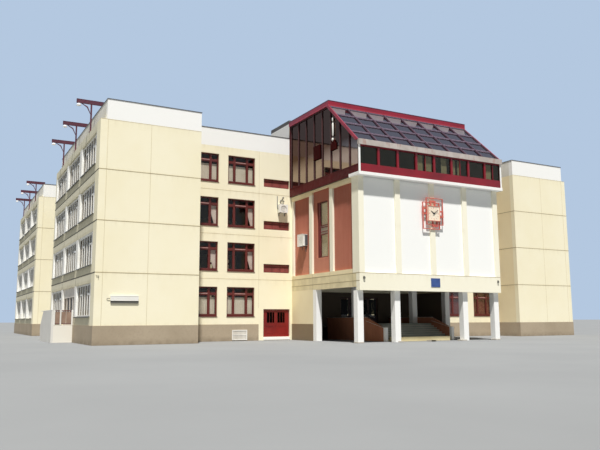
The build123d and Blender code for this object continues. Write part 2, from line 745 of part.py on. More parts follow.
def attic_front():
    """The upright window band over the hall front and the gutter above it."""
    holes = []
    for bay in range(FRONT_BAYS):
        left = -ATTIC_X + bay * ATTIC_PITCH
        holes.append(rect(left + ATTIC_BAR, left + ATTIC_PITCH - ATTIC_BAR,
                          ATTIC_SILL_TOP, GUTTER_Z - ATTIC_BAR))
    band = rect(-ATTIC_X, ATTIC_X, ATTIC_FLOOR_Z, GUTTER_Z)
    add("attic_front_band", [front_sheet(ATTIC_Y, ATTIC_FRAME_T, band, holes)])
    half = ATTIC_X - ATTIC_FRAME_T - GLASS_T
    pane = rect(-half, half, ATTIC_SILL_TOP - GLASS_LAP, GUTTER_Z)
    add("attic_glass", [front_sheet(ATTIC_Y + ATTIC_FRAME_T, GLASS_T, pane)])
    add("attic_gutter", [box(-ATTIC_X - GUTTER_OUT / 2, ATTIC_X + GUTTER_OUT / 2, ATTIC_Y - GUTTER_OUT,
                             ATTIC_Y + ATTIC_FRAME_T, GUTTER_Z, EAVE_Z)])


def attic_slope():
    """The sloping glass roof, a grid of bars over one sheet of glass."""
    length = slope_length()
    run = SLOPE_RUN - FASCIA_T
    rise = FASCIA_Z - EAVE_Z
    slope = Plane(origin=(0, ATTIC_Y, EAVE_Z), x_dir=(1, 0, 0), z_dir=(0, -rise, run))
    row = length / SLOPE_ROWS
    lights = []
    for bay in range(FRONT_BAYS):
        left = -ATTIC_X + bay * ATTIC_PITCH
        for level in range(SLOPE_ROWS):
            low = level * row
            lights.append(rect(left + SLOPE_BAR, left + ATTIC_PITCH - SLOPE_BAR,
                               low + SLOPE_BAR, low + row - SLOPE_BAR))
    sheet = side_sheet(-ATTIC_X, 2 * ATTIC_X, slope_profile(ATTIC_FRAME_T))
    cuts = [extrude(slope * light, ATTIC_FRAME_T * 2, both=True) for light in lights]
    add("attic_slope_frame", [sheet - cuts])
    half = ATTIC_X - ATTIC_FRAME_T - GLASS_T
    clear_of_gutter = ATTIC_FRAME_T * (length - rise) / run
    pane = rect(-half, half, clear_of_gutter, length - 2 * SLOPE_BAR)
    add("attic_glass", [extrude(slope.offset(-ATTIC_FRAME_T) * pane, -GLASS_T)])


def attic_top():
    """The flat roof of the attic inside a deep crimson fascia, with a board down each end of the slope."""
    half = ATTIC_X + FASCIA_T
    outer = rect(-half, half, RIDGE_Y - FASCIA_T, RECESS)
    inner = rect(-ATTIC_X, ATTIC_X, RIDGE_Y, RECESS)
    rim = extrude(Pos(0, 0, FASCIA_Z) * (outer - inner), FASCIA_H)
    rake = side_sheet(-half, FASCIA_T, slope_profile(RAKE_H))
    add("attic_fascia", [rim + mirrored([rake])])
    add("upper_roofs", [extrude(Pos(0, 0, ATTIC_TOP - ATTIC_SLAB_T) * inner, ATTIC_SLAB_T)])


def penthouse():
    """The plain block on the roof behind the attic."""
    front = RECESS + WALL_T
    back = front + PENTHOUSE_D
    outer = rect(-HALF_HALL, HALF_HALL, front, back)
    inner = rect(-HALF_HALL + WALL_T, HALF_HALL - WALL_T, front, back - WALL_T)
    top = PENTHOUSE_TOP - SLAB_T
    add("penthouse_walls", [extrude(Pos(0, 0, ROOF_Z) * (outer - inner), top - ROOF_Z)])
    add("upper_roofs", [box(-HALF_HALL, HALF_HALL, front, back, top, PENTHOUSE_TOP)])


def lamp_bracket(y):
    """Two posts carry a channel beam that leans out over the wall, with a cranked brace."""
    outer = -HALF_FRONT
    tip = outer - BRACKET_OUT
    low = BRACKET_TOP - BEAM_H
    half_w = BEAM_W / 2
    inner = outer + BRACKET_IN
    posts = [box(x, x + BRACKET_POST, y - BRACKET_POST / 2, y + BRACKET_POST / 2, ROOF_Z, low)
             for x in (outer, inner - BRACKET_POST)]
    channel = rect(y - half_w, y + half_w, low, BRACKET_TOP)
    channel -= rect(y - half_w + BEAM_WEB, y + half_w - BEAM_WEB, low, BRACKET_TOP - BEAM_WEB)
    beam = side_sheet(tip, BRACKET_OUT + BRACKET_IN, channel)
    end = box(tip, tip + BEAM_WEB, y - half_w, y + half_w, low, BRACKET_TOP)
    bend = BRACE_L / 3
    brace = outline_face([(outer - BRACE_L, low), (outer - BRACE_L + BRACE_T, low),
                          (outer - bend + BRACE_T / 2, low - bend + BRACE_T / 2), (outer, low - BRACE_L),
                          (outer, low - BRACE_L - BRACE_T), (outer - bend - BRACE_T / 2,
                                                             low - bend - BRACE_T / 2)])
    knee = front_sheet(y - BRACE_T / 2, BRACE_T, brace)
    return posts[0] + posts[1] + beam + end + knee


def roof_lamps():
    """A bracket over each side bay, with a white lamp under its tip."""
    brackets = []
    lamps = []
    for bay in range(SIDE_BAYS):
        y = SIDE_MARGIN + SIDE_WINDOW_W / 2 + bay * SIDE_PITCH_Y
        brackets.append(lamp_bracket(y))
        rim = Pos(-HALF_FRONT - BRACKET_OUT + LAMP_R, y, BRACKET_TOP - BEAM_H - LAMP_H)
        lamps.append(rim * extrude(RegularPolygon(LAMP_R, LAMP_SIDES), LAMP_H, taper=LAMP_TAPER))
    add("lamp_brackets", all_wings(brackets))
    add("roof_lamps", all_wings(lamps))


def porch():
    """The raised landing on the left side, with steps down along the wall and a railing."""
    face = -HALF_FRONT - PLINTH_LIP
    outer = -HALF_FRONT - PORCH_OUT
    left = outer + PORCH_WALL_T
    back = PORCH_Y + PORCH_LANDING
    foot = back + (RISERS - 1) * TREAD
    flight = outline_face([(PORCH_Y + back - y, z) for y, z in stair_outline(
        PORCH_Y + back - foot, RISERS - 1, back)])
    add("side_steps", [extrude(along_y(left) * flight, face - left)])
    top = PLINTH_H + PORCH_RAIL_H
    end = back + PORCH_WALL_TREADS * TREAD
    wall = outline_face([(PORCH_Y, 0), (PORCH_Y, top), (back, top), (end, PLINTH_H), (end, 0)])
    add("porch_wall", [extrude(along_y(outer) * wall, PORCH_WALL_T)])

    count = int((face - left) / RAIL_PITCH)
    gap = (face - left) / count
    near = PORCH_Y + RAIL_BAR
    railing = [box(left, face, near, near + RAIL_BAR, z - RAIL_BAR, z)
               for z in (PLINTH_H + 3 * RAIL_BAR, top)]
    for index in range(1, count):
        x = left + index * gap
        railing.append(box(x - RAIL_BAR / 2, x + RAIL_BAR / 2, near, near + RAIL_BAR,
                           PLINTH_H + 2 * RAIL_BAR, top))
    railing += [box(x, x + RAIL_POST, PORCH_Y, PORCH_Y + RAIL_POST, PLINTH_H, top)
                for x in (left, face - RAIL_POST)]
    add("porch_railing", [Part() + railing])


def side_door():
    """The red double door: a surround with its threshold, a fixed frame and two leaves."""
    pier = box(DOOR_RIGHT, -HALF_HALL, RECESS, RECESS + WALL_T, 0, DOOR_HEAD_Z)
    jamb = box(DOOR_LEFT - DOOR_SURROUND, DOOR_LEFT, RECESS, RECESS + WALL_T, 0, PLINTH_H)
    threshold = box(DOOR_LEFT, DOOR_RIGHT, RECESS, RECESS + WALL_T, 0, DOOR_Z)
    add("door_surround", [pier + jamb + threshold])

    low = DOOR_Z + LEAF_GAP
    high = DOOR_HEAD_Z - DOOR_FRAME_W - LEAF_GAP
    face = RECESS + REVEAL
    left = DOOR_LEFT + DOOR_FRAME_W
    right = DOOR_RIGHT - DOOR_FRAME_W
    head = DOOR_HEAD_Z - DOOR_FRAME_W
    frame = outline_face([(DOOR_LEFT, DOOR_Z), (DOOR_LEFT, DOOR_HEAD_Z), (DOOR_RIGHT, DOOR_HEAD_Z),
                          (DOOR_RIGHT, DOOR_Z), (right, DOOR_Z), (right, head), (left, head),
                          (left, DOOR_Z)])
    add("side_door_frame", [front_sheet(face, FRAME_T, frame)])
    width = (right - left - 2 * LEAF_GAP - MEETING_GAP) / 2
    leaf = door_leaf(width, low, high)
    add("side_door_left", [Pos(left + LEAF_GAP, face, 0) * leaf])
    add("side_door_right", [Pos(right - LEAF_GAP, face, 0) * mirror(leaf, about=Plane.YZ)])


def door_leaf(width, low, high):
    """A leaf hung at x = 0: rails round a pane and a panel, a bow handle and two knuckles."""
    middle = (low + high) / 2 - LEAF_RAIL / 2
    pane = rect(LEAF_RAIL, width - LEAF_RAIL, middle + LEAF_RAIL / 2, high - LEAF_RAIL)
    panel = rect(LEAF_RAIL, width - LEAF_RAIL, low + LEAF_RAIL, middle - LEAF_RAIL / 2)
    rails = front_sheet(0, LEAF_T, rect(0, width, low, high), [pane, panel])
    backs = front_sheet((LEAF_T - PANEL_T) / 2, PANEL_T, pane + panel)

    foot = middle - HANDLE_L / 2
    top = middle + HANDLE_L / 2
    bow = outline_face([(0, foot), (-HANDLE_OUT, foot + HANDLE_OUT), (-HANDLE_OUT, top - HANDLE_OUT),
                        (0, top), (0, top - 1.5 * HANDLE_T),
                        (HANDLE_T - HANDLE_OUT, top - HANDLE_OUT - HANDLE_T / 2),
                        (HANDLE_T - HANDLE_OUT, foot + HANDLE_OUT + HANDLE_T / 2),
                        (0, foot + 1.5 * HANDLE_T)])
    handle = extrude(along_y(width - LEAF_RAIL / 2) * bow, HANDLE_T / 2, both=True)

    leaf = rails + backs + handle
    for z in (low + 2 * LEAF_RAIL, high - 2 * LEAF_RAIL):
        knuckle = Pos(-LEAF_GAP / 2, -KNUCKLE_R - KNUCKLE_GAP, z) * Cylinder(KNUCKLE_R, KNUCKLE_L)
        plate = box(0, KNUCKLE_PLATE, -3 * KNUCKLE_GAP, 0, z - KNUCKLE_L / 2, z + KNUCKLE_L / 2)
        leaf += knuckle + plate
    return leaf


def disc(y, radius, depth):
    return Pos(0, 0, CLOCK_Z) * extrude(along_x(y) * Circle(radius), -depth)


def clock_hand(y, length, width, angle):
    """A tapered pointer with a short tail and a round hub, set to its angle from twelve."""
    tail = length / 4
    pointer = outline_face([(-width / 2, 0), (-width / 5, length), (width / 5, length),
                            (width / 2, 0), (width / 3, -tail), (-width / 3, -tail)])
    turned = Rot(0, 0, -angle) * (pointer + Circle(HUB_R))
    return Pos(0, 0, CLOCK_Z) * extrude(along_x(y) * turned, -HAND_T)


def clock():
    """A square clock on the middle pilaster; the minute hand's arbor runs through the hour hand."""
    face = HALL_FRONT - CLOCK_T
    dial_y = face + DIAL_RIM / 2
    square = (-CLOCK_W / 2, CLOCK_W / 2, CLOCK_Z - CLOCK_W / 2, CLOCK_Z + CLOCK_W / 2)
    case = front_sheet(face, CLOCK_T, rect(*square))
    dial = front_sheet(face, DIAL_RIM / 2, rect(*inset(square, DIAL_RIM)))
    add("clock_case", [case - dial - disc(dial_y, HUB_R + HAND_GAP, CLOCK_T / 2)])
    hour_y = dial_y - HAND_GAP - HAND_T
    minute_y = hour_y - HAND_GAP - HAND_T
    hour = clock_hand(hour_y, HOUR_L, HOUR_W, HOUR_ANGLE)
    add("hour_hand", [hour - disc(hour_y, ARBOR_R + HAND_GAP, HAND_T)])
    add("minute_hand", [clock_hand(minute_y, MINUTE_L, MINUTE_W, MINUTE_ANGLE)
                        + disc(minute_y, ARBOR_R, CLOCK_T / 3)])


def ring(x, z, width, height, bar):
    """An open rectangular frame, its middle placed from the middle of the clock."""
    outer = Pos(x, CLOCK_Z + z) * Rectangle(width, height)
    return outer - Pos(x, CLOCK_Z + z) * Rectangle(width - 2 * bar, height - 2 * bar)


def clock_frames():
    """Two thin overlapping frames round the clock, with a small thick one at each side."""
    shift = (OPEN_FRAME_W - CLOCK_W) / 2 - FRAME_BAR
    reach = (CLOCK_W + RING_W) / 2 - RING_BAR
    thin = [ring(-shift, -shift, OPEN_FRAME_W, OPEN_FRAME_H, FRAME_BAR),
            ring(shift, shift, OPEN_FRAME_W, OPEN_FRAME_H, FRAME_BAR)]
    thick = [ring(x, z, RING_W, RING_W, RING_BAR)
             for x, z in ((-reach, shift), (0, reach), (reach, 0), (shift, -reach))]
    clock_square = Pos(0, CLOCK_Z) * Rectangle(CLOCK_W, CLOCK_W)
    frames = Sketch() + thin + thick - clock_square
    add("clock_frames", front_sheet(HALL_FRONT - CLOCK_T / 2, CLOCK_T / 2, frames).solids())


def air_conditioners():
    """One unit by the top strip window and a larger one on the hall's flank."""
    fan = RegularPolygon(AC_FAN_R, AC_FAN_SIDES)
    right = -HALF_HALL - HALL_MARGIN - AC_ASIDE
    low = floor_level(STOREYS - 2) + AC_RISE
    front = RECESS - AC_D - AC_GAP
    unit = box(right - AC_W, right, front, RECESS - AC_GAP, low, low + AC_H)
    cut = along_x(front) * (Pos(right - AC_W / 2, low + AC_H / 2) * fan)
    near = flank_bay_spans()[-1][0] + FLANK_AC_ASIDE
    back = -HALF_HALL + FLANK_PANEL_BACK
    flank_low = HALL_FLOOR_Z + FLANK_AC_RISE
    flank = box(back - AC_D, back, near, near + FLANK_AC_W, flank_low, flank_low + FLANK_AC_H)
    flank_cut = along_y(back - AC_D) * (Pos(near + FLANK_AC_W / 2, flank_low + FLANK_AC_H / 2) * fan)
    add("air_conditioners", [unit - extrude(cut, -AC_GAP), flank - extrude(flank_cut, AC_GAP)])


wings()
porch_screen()
recess_fronts()
courts()
link()
plinths()
slabs()
vestibule()
parapets()
hall_posts()
hall_panels()
hall_beams()
hall_slabs()
hall_rear_wall()
cornice()
portico_columns()
entrance_steps()
attic_sides()
attic_front()
attic_slope()
attic_top()
penthouse()
roof_lamps()
porch()
side_door()
clock()
clock_frames()
air_conditioners()

os.makedirs("parts", exist_ok=True)
for name, solids in nodes.items():
    pieces = flat([solid.solids() for solid in solids])
    export_step(Compound(pieces), "parts/" + name + ".step")
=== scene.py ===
import math
import random
import bmesh
import bpy
from mathutils import Matrix, Vector


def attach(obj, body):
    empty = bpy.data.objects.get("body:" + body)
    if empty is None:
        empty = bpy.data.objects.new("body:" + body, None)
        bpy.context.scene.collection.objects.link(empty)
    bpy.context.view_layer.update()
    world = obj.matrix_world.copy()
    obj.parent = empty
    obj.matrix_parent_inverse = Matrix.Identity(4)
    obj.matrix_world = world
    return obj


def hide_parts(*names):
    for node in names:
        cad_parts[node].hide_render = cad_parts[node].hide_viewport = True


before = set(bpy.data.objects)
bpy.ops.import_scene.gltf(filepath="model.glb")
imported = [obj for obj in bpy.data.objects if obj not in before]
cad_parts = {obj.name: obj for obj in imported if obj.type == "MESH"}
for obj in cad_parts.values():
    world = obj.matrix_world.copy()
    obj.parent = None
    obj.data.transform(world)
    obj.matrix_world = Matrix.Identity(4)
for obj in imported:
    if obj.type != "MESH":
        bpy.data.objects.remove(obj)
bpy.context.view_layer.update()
dice = random.Random(7)

# Levels and plan of the model, in metres
STOREY = 1.65
FLOORS = (0.6, 2.25, 3.9, 5.55)
ROOF = 7.2
SILL = 0.285
HEAD = 1.355
HALF_FRONT = 10.8
WING_IN = 7.4
WING_D = 9.2
RECESS = 1.5
BODY_BACK = 7.7
REAR_BAR = 15.2
BARS = (0.0, REAR_BAR)
COURT_FACE = 16.7
REAR_FACE = 22.9
HALF_HALL = 3.1
HALL_FRONT = -3.2
BEAM_TOP = 2.275
SOFFIT = 1.7
FLANK_SOFFIT = 1.825
ATTIC_X = 3.175
ATTIC_FLOOR = 5.575
ATTIC_SILL = 5.84
ATTIC_HEAD = 6.449
ATTIC_Y = -3.4
ATTIC_PITCH = 0.79375
GUTTER_X = 3.205
GUTTER_Y = (-3.46, -3.36)
GUTTER_FOOT = 6.485
EAVE = 6.65
FASCIA_TOP = 8.55
STEP_Y = -2.25
DOOR_FACE = 1.56
DOOR_BAY = (-4.3067, -3.2)

# Windows
WINDOW_W = 1.10667
WINDOW_LEFTS = (-7.26, -5.78333, -4.30667)
STRIP = (-4.30667, -3.2)
STRIP_Z = (0.28, 0.605)
SIDE_LEFTS = (0.575, 3.475, 6.375)
SIDE_W = 2.55
LINK_LEFTS = (8.15, 11.28333, 14.41667)
LINK_W = 1.83333
REAR_LEFTS = (-6.9, -4.43333, -1.96667)
REAR_W = 1.46667
FRAME_W = 0.035
SET_BACK = (0.062, 0.108)
DEEP_SET = (0.13, 0.185)

# The walls: which way they run, where their outer face is and which way is inwards
FRONT, SIDE = "front", "side"
GABLE_WALL = (FRONT, 0.0, 1)
GABLE_BACK = (FRONT, WING_D, -1)
RECESS_WALL = (FRONT, RECESS, 1)
PLINTH_WALL = (FRONT, RECESS - 0.012, 1)
COURT_NEAR = (FRONT, BODY_BACK, -1)
COURT_FAR = (FRONT, COURT_FACE, 1)
REAR_WALL = (FRONT, REAR_FACE, -1)
HALL_WALL = (FRONT, HALL_FRONT, 1)
DOOR_WALL = (FRONT, DOOR_FACE, 1)
ATTIC_BAND = (FRONT, ATTIC_Y, 1)
DIAL = (FRONT, -3.278, 1)
CLOCK_RIM = (FRONT, -3.29, 1)
SIDE_WALL = (SIDE, -HALF_FRONT, 1)
RETURN_WALL = (SIDE, -WING_IN, -1)
FLANK_WALL = (SIDE, -HALF_HALL, 1)
PANEL_WALL = (SIDE, -3.025, 1)
UNIT_FACE = (SIDE, -3.195, 1)
ATTIC_SIDE = (SIDE, -ATTIC_X, 1)

COATS = {}
NO_TUBE_RUN = Vector((0.31, 0.17, 0.94))  # a direction that no tube takes


def tone(shown):
    """Light values of a colour given as the 0 to 255 values that a screen shows."""
    parts = [value / 255 for value in shown]
    return (*[part / 12.92 if part <= 0.04045 else ((part + 0.055) / 1.055) ** 2.4 for part in parts], 1)


def add_node(tree, kind, inputs=None, **settings):
    made = tree.nodes.new(kind)
    for key, value in settings.items():
        setattr(made, key, value)
    for key, value in (inputs or {}).items():
        if isinstance(value, bpy.types.NodeSocket):
            tree.links.new(value, made.inputs[key])
        else:
            made.inputs[key].default_value = value
    return made


class Finish:
    """A node material on one Principled shader, drawn by place on the object, and kept in COATS.

    It starts from a main colour, on which others are laid. Colours are the 0 to 255 values of a screen.
    """

    def __init__(self, name, main=None, roughness=0.6, specular=0.5, coat=0.0):
        COATS[name] = bpy.data.materials.new(name)
        COATS[name].use_nodes = True
        self.tree = COATS[name].node_tree
        self.shader = self.tree.nodes["Principled BSDF"]
        for key, value in (("Roughness", roughness), ("Specular IOR Level", specular), ("Coat Weight", coat)):
            self.shader.inputs[key].default_value = value
        self.place = self.node("ShaderNodeTexCoord").outputs["Object"]
        self.x, self.y, self.z = self.node("ShaderNodeSeparateXYZ", {0: self.place}).outputs
        self.base = main

    def node(self, *wanted, **settings):
        return add_node(self.tree, *wanted, **settings)

    def math(self, operation, a, b=0.0):
        return self.node("ShaderNodeMath", {0: a, 1: b}, operation=operation).outputs[0]

    def over(self, value, limit):
        return self.math("GREATER_THAN", value, limit)

    def below(self, value, limit):
        return self.math("LESS_THAN", value, limit)

    def both(self, a, b):
        return self.math("MULTIPLY", a, b)

    def band(self, value, low, high):
        """1 between low and high, 0 outside."""
        return self.both(self.over(value, low), self.below(value, high))

    def aside(self):
        """How far a point is from the middle plane."""
        return self.math("ABSOLUTE", self.x)

    def storey(self):
        """How far up its storey a point is, from 0 at the floor to 1 at the next."""
        height = self.math("SUBTRACT", self.z, FLOORS[0] - STOREY)
        return self.math("FRACT", self.math("DIVIDE", height, STOREY))

    def noise(self, scale, detail=4.0, stretch=(1, 1, 1)):
        """A cloudy pattern from 0 to 1; stretch scales each axis."""
        at = self.node("ShaderNodeMapping", {"Vector": self.place, "Scale": stretch}).outputs[0]
        settings = {"Vector": at, "Scale": scale, "Detail": detail}
        return self.node("ShaderNodeTexNoise", settings).outputs["Fac"]

    def ramp(self, value, low, high, out_low=0.0, out_high=1.0):
        settings = {0: value, 1: low, 2: high, 3: out_low, 4: out_high}
        return self.node("ShaderNodeMapRange", settings).outputs[0]

    def cloud(self, scale, low, high, most=1.0, *pattern):
        """A cloudy share: 0 where the pattern is under low, most where it is over high."""
        return self.ramp(self.noise(scale, *pattern), low, high, 0, most)

    def mix(self, share, *pair):
        """The first colour where share is 0, the other where it is 1. Four values are light values."""
        pair = [tone(one) if isinstance(one, tuple) and len(one) == 3 else one for one in pair]
        return self.node("ShaderNodeMix", {0: share, 6: pair[0], 7: pair[1]}, data_type="RGBA").outputs[2]

    def lay(self, colour, share):
        """Lays a colour over the base, none of it where share is 0 and all where it is 1."""
        self.base = self.mix(share, self.base, colour)

    def spread(self, colour, *cloud):
        self.lay(colour, self.cloud(*cloud))

    def put(self, key, value):
        self.tree.links.new(value, self.shader.inputs[key])

    def bump(self, height, depth, strength):
        made = self.node("ShaderNodeBump", {"Height": height, "Distance": depth, "Strength": strength})
        self.put("Normal", made.outputs[0])

    def done(self, scale, detail, depth, strength):
        """Puts the base on, with a grain in relief."""
        self.put("Base Color", self.base)
        self.bump(self.noise(scale, detail), depth, strength)


def render_coat(name, clean, tired, grime, wear=1.0, dark=None, under=0.0, within=0.0, edge=None):
    """Painted render: slow changes of tone, faint rain streaks, grime by the joints, a fine grain.

    dark is a darker tone painted on as shade, under a height and within a distance of the middle. Past edge
    it is pale.
    """
    mat = Finish(name, clean, 0.85, 0.25)
    mat.spread(tired, 0.5, 0.4, 0.75, 0.8 * wear, 3)
    mat.spread(tired, 3.2, 0.5, 0.85, 0.3 * wear, 5)
    share = mat.storey()
    near = mat.math("MAXIMUM", mat.ramp(share, 0.84, 1.0), mat.ramp(share, 0.07, 0.0))
    mat.lay(grime, mat.both(near, mat.cloud(2.2, 0.45, 0.8, 0.3 * wear, 4, (3.5, 3.5, 0.25))))
    if edge:
        mat.lay((252, 250, 240), mat.both(mat.over(mat.aside(), edge), 0.7))
    # Painted shade: the dark tone below a height near the middle, on the portico's walls
    if dark:
        mat.lay(dark, mat.both(mat.below(mat.aside(), within), mat.below(mat.z, under)))
    mat.done(95, 3, 0.0015, 0.35)


def paint(name, main, shade, roughness=0.4, scale=1.5, specular=0.5, rust=None, coat=0.0):
    """Painted metal or plastic: an uneven colour with dust and a faint orange peel, some with rust."""
    mat = Finish(name, main, roughness, specular, coat)
    mat.spread(shade, scale, 0.35, 0.75)
    mat.spread(shade, scale * 9, 0.55, 0.8, 0.3, 5)
    if rust:
        mat.spread(rust, 5, 0.55, 0.7, 0.75, 6, (1.4, 1.4, 0.5))
    dull = min(1, roughness * 1.3)
    mat.put("Roughness", mat.ramp(mat.noise(scale * 5, 3), 0.3, 0.7, roughness * 0.8, dull))
    mat.done(140, 2, 0.0008, 0.2)


def stone(name, main, shade, speck, front=None, front_y=0.0):
    """Cast concrete or terrazzo with specks and stains; faces before front_y may have another paint."""
    mat = Finish(name, main, 0.8, 0.3)
    mat.spread(shade, 1.4, 0.35, 0.7, 1, 5)
    mat.spread(speck, 120, 0.6, 0.68, 0.7, 2)
    if front:
        mat.lay(front, mat.below(mat.y, front_y))
    mat.done(50, 5, 0.002, 0.4)


def cloth(name, main, shade):
    """Woven curtain cloth with a fine weave."""
    mat = Finish(name, main, 0.9, 0.1)
    weave = mat.noise(240, 2, (1, 1, 0.4))
    mat.spread(shade, 2.5, 0.35, 0.7)
    mat.lay(shade, mat.ramp(weave, 0.4, 0.65, 0, 0.25))
    mat.put("Base Color", mat.base)
    mat.shader.inputs["Sheen Weight"].default_value = 0.2
    mat.bump(weave, 0.0006, 0.4)


def terracotta_coat(name, main, shade, streak):
    """Ribbed terracotta render with streaks, with painted sunlight making it paler towards its foot and its
    rear.
    """
    mat = Finish(name, main, 0.8, 0.25)
    mat.spread(shade, 0.8, 0.35, 0.7)
    mat.spread(streak, 3, 0.45, 0.8, 0.5, 5, (3, 3, 0.2))
    # Painted sunlight: paler low down and towards the rear, where the flank is lit below the overhang's
    # shadow
    painted_sunlight = mat.both(mat.over(mat.z, 2.2), mat.ramp(mat.z, 4.6, 2.7, 0, 0.4))
    mat.lay((226, 166, 138), mat.both(painted_sunlight, mat.ramp(mat.y, -2.4, -0.8, 0.1, 1)))
    mat.done(70, 4, 0.0015, 0.5)


def flank_beam_coat(name):
    """Cream render with a weathered band under the sill line."""
    mat = Finish(name, (246, 232, 194), 0.85, 0.25)
    mat.spread((234, 217, 176), 1.3, 0.4, 0.75)
    worn = mat.mix(mat.cloud(3, 0.35, 0.75, 1, 5, (1, 1, 0.7)), (238, 225, 186), (214, 202, 164))
    mat.lay(worn, mat.band(mat.z, 1.84, 2.25))
    mat.done(90, 3, 0.002, 0.4)


def side_facade(name):
    """Side walls: pebble dashed spandrels, pale piers between the windows, a cream strip at each end."""
    mat = Finish(name, (222, 215, 187), 0.9, 0.2)
    share = mat.storey()
    mat.spread((242, 235, 208), 75, 0.3, 0.7)
    mat.spread((204, 199, 174), 1.6, 0.4, 0.75, 0.5, 5)
    stains = mat.cloud(2.5, 0.35, 0.7, 0.45, 4, (1, 5, 0.3))
    mat.lay((172, 167, 144), mat.both(mat.ramp(share, 0.02, 0.16), stains))
    mat.lay((236, 231, 210), mat.ramp(share, 0.86, 0.9, 0, 0.5))
    pier = mat.mix(mat.cloud(3, 0.4, 0.8), (253, 253, 250), (240, 238, 228))
    mat.lay(pier, mat.band(share, SILL / STOREY, HEAD / STOREY))
    smooth = mat.mix(mat.cloud(1.2, 0.4, 0.75), CREAM, CREAM_TIRED)
    along = mat.math("MODULO", mat.y, REAR_BAR)
    middle = mat.band(along, SIDE_LEFTS[0] - 0.05, SIDE_LEFTS[2] + SIDE_W + 0.05)
    mat.base = mat.mix(middle, smooth, mat.base)
    mat.done(80, 3, 0.003, 0.5)


def plinth_coat(name):
    """Taupe render, darker where it meets the ground, with painted shade in the strip beside the portico."""
    mat = Finish(name, (180, 165, 143), 0.85, 0.25)
    mat.spread((168, 153, 131), 0.9, 0.35, 0.7, 1, 5)
    mat.spread((152, 139, 119), 14, 0.5, 0.8, 0.4, 5)
    # Painted shade on the plinth within the hall's width, beside and under the portico
    mat.lay((132, 112, 84), mat.both(mat.below(mat.aside(), HALF_HALL + 0.1), 0.75))
    splash = mat.both(mat.ramp(mat.z, 0.2, 0.0), mat.ramp(mat.noise(4, 5), 0.35, 0.7, 0.2, 0.8))
    mat.lay((128, 115, 96), splash)
    mat.done(60, 4, 0.002, 0.5)


def fascia_coat(name):
    """Crimson sheet with a dark drip edge along its top and a paler fold below it."""
    mat = Finish(name, (158, 30, 50), 0.42)
    mat.spread((132, 24, 42), 1.5, 0.35, 0.75)
    mat.lay((92, 22, 42), mat.over(mat.z, FASCIA_TOP - 0.045))
    mat.lay((186, 70, 82), mat.both(mat.band(mat.z, FASCIA_TOP - 0.2, FASCIA_TOP - 0.165), 0.6))
    mat.done(140, 2, 0.0008, 0.2)


def slope_bar_coat(name):
    """Muted purple red bars whose downward faces are painted pale: painted light that lifts their shade."""
    mat = Finish(name, (104, 76, 92), 0.5)
    normal = mat.node("ShaderNodeNewGeometry").outputs["Normal"]
    upward = mat.node("ShaderNodeSeparateXYZ", {0: normal}).outputs[2]
    mat.spread((94, 74, 88), 3, 0.35, 0.75)
    # Painted light: faces turned downwards, which stand in shade, are made pale
    mat.lay((206, 190, 212), mat.ramp(upward, 0.0, -0.3))
    mat.done(140, 2, 0.0008, 0.2)


def glass(name, tint, mirror, least, most, side_mirror=None):
    """A share of reflection that grows at a slant, over a tinted view through. Colours are light values.

    With side_mirror it is the attic's: clearer in the front band, and on the sides a painted reflection, a
    warm mirror low down going dark high up.
    """
    mat = Finish(name)
    mat.tree.nodes.remove(mat.shader)
    share = mat.ramp(mat.node("ShaderNodeFresnel", {"IOR": 1.5}).outputs[0], 0.04, 0.6, least, most)
    if side_mirror:
        upright = mat.both(mat.below(mat.y, ATTIC_Y + 0.06), mat.below(mat.z, GUTTER_FOOT + 0.015))
        share = mat.both(share, mat.ramp(upright, 0, 1, 1, 0.2))
        tint = mat.mix(upright, tint, (0.68, 0.68, 0.6, 1))
        mirror = mat.mix(upright, mirror, (0.5, 0.42, 0.33, 1))
        # Painted reflection on the attic's sides: a warm mirror low down for the cream walls, going dark high
        # up
        overlay = mat.mix(mat.ramp(mat.z, *PAINTED_REFLECTION_Z), side_mirror, (0.28, 0.17, 0.13, 1))
        mirror = mat.mix(mat.over(mat.aside(), ATTIC_X - 0.055), mirror, overlay)
    dust = mat.ramp(mat.noise(2.5, 4), 0.3, 0.8, 0.03, 0.09)
    reflect = mat.node("ShaderNodeBsdfGlossy", {"Color": mirror, "Roughness": dust}).outputs[0]
    through = mat.node("ShaderNodeBsdfTransparent", {"Color": tint}).outputs[0]
    both = mat.node("ShaderNodeMixShader", {0: share, 1: through, 2: reflect}).outputs[0]
    mat.tree.links.new(both, mat.tree.nodes["Material Output"].inputs[0])


CREAM = (251, 244, 216)
CREAM_TIRED = (246, 237, 203)
CREAM_GRIME = (206, 193, 158)
PLAIN_CREAM = (CREAM, CREAM_TIRED, CREAM_GRIME)
# A darker copy of the cream: painted shade for the wings' return walls and the portico's side walls
SHADED_CREAM = ((246, 233, 196), (236, 220, 180), CREAM_GRIME)
# Painted shade under the portico, on its back wall below the soffit and low on its side walls
PORTICO_PAINTED_SHADE = (92, 82, 70)
GABLE_EDGE = 10.62
# Heights over which the painted reflection on the attic's sides goes from warm to dark
PAINTED_REFLECTION_Z = (6.3, 6.9)

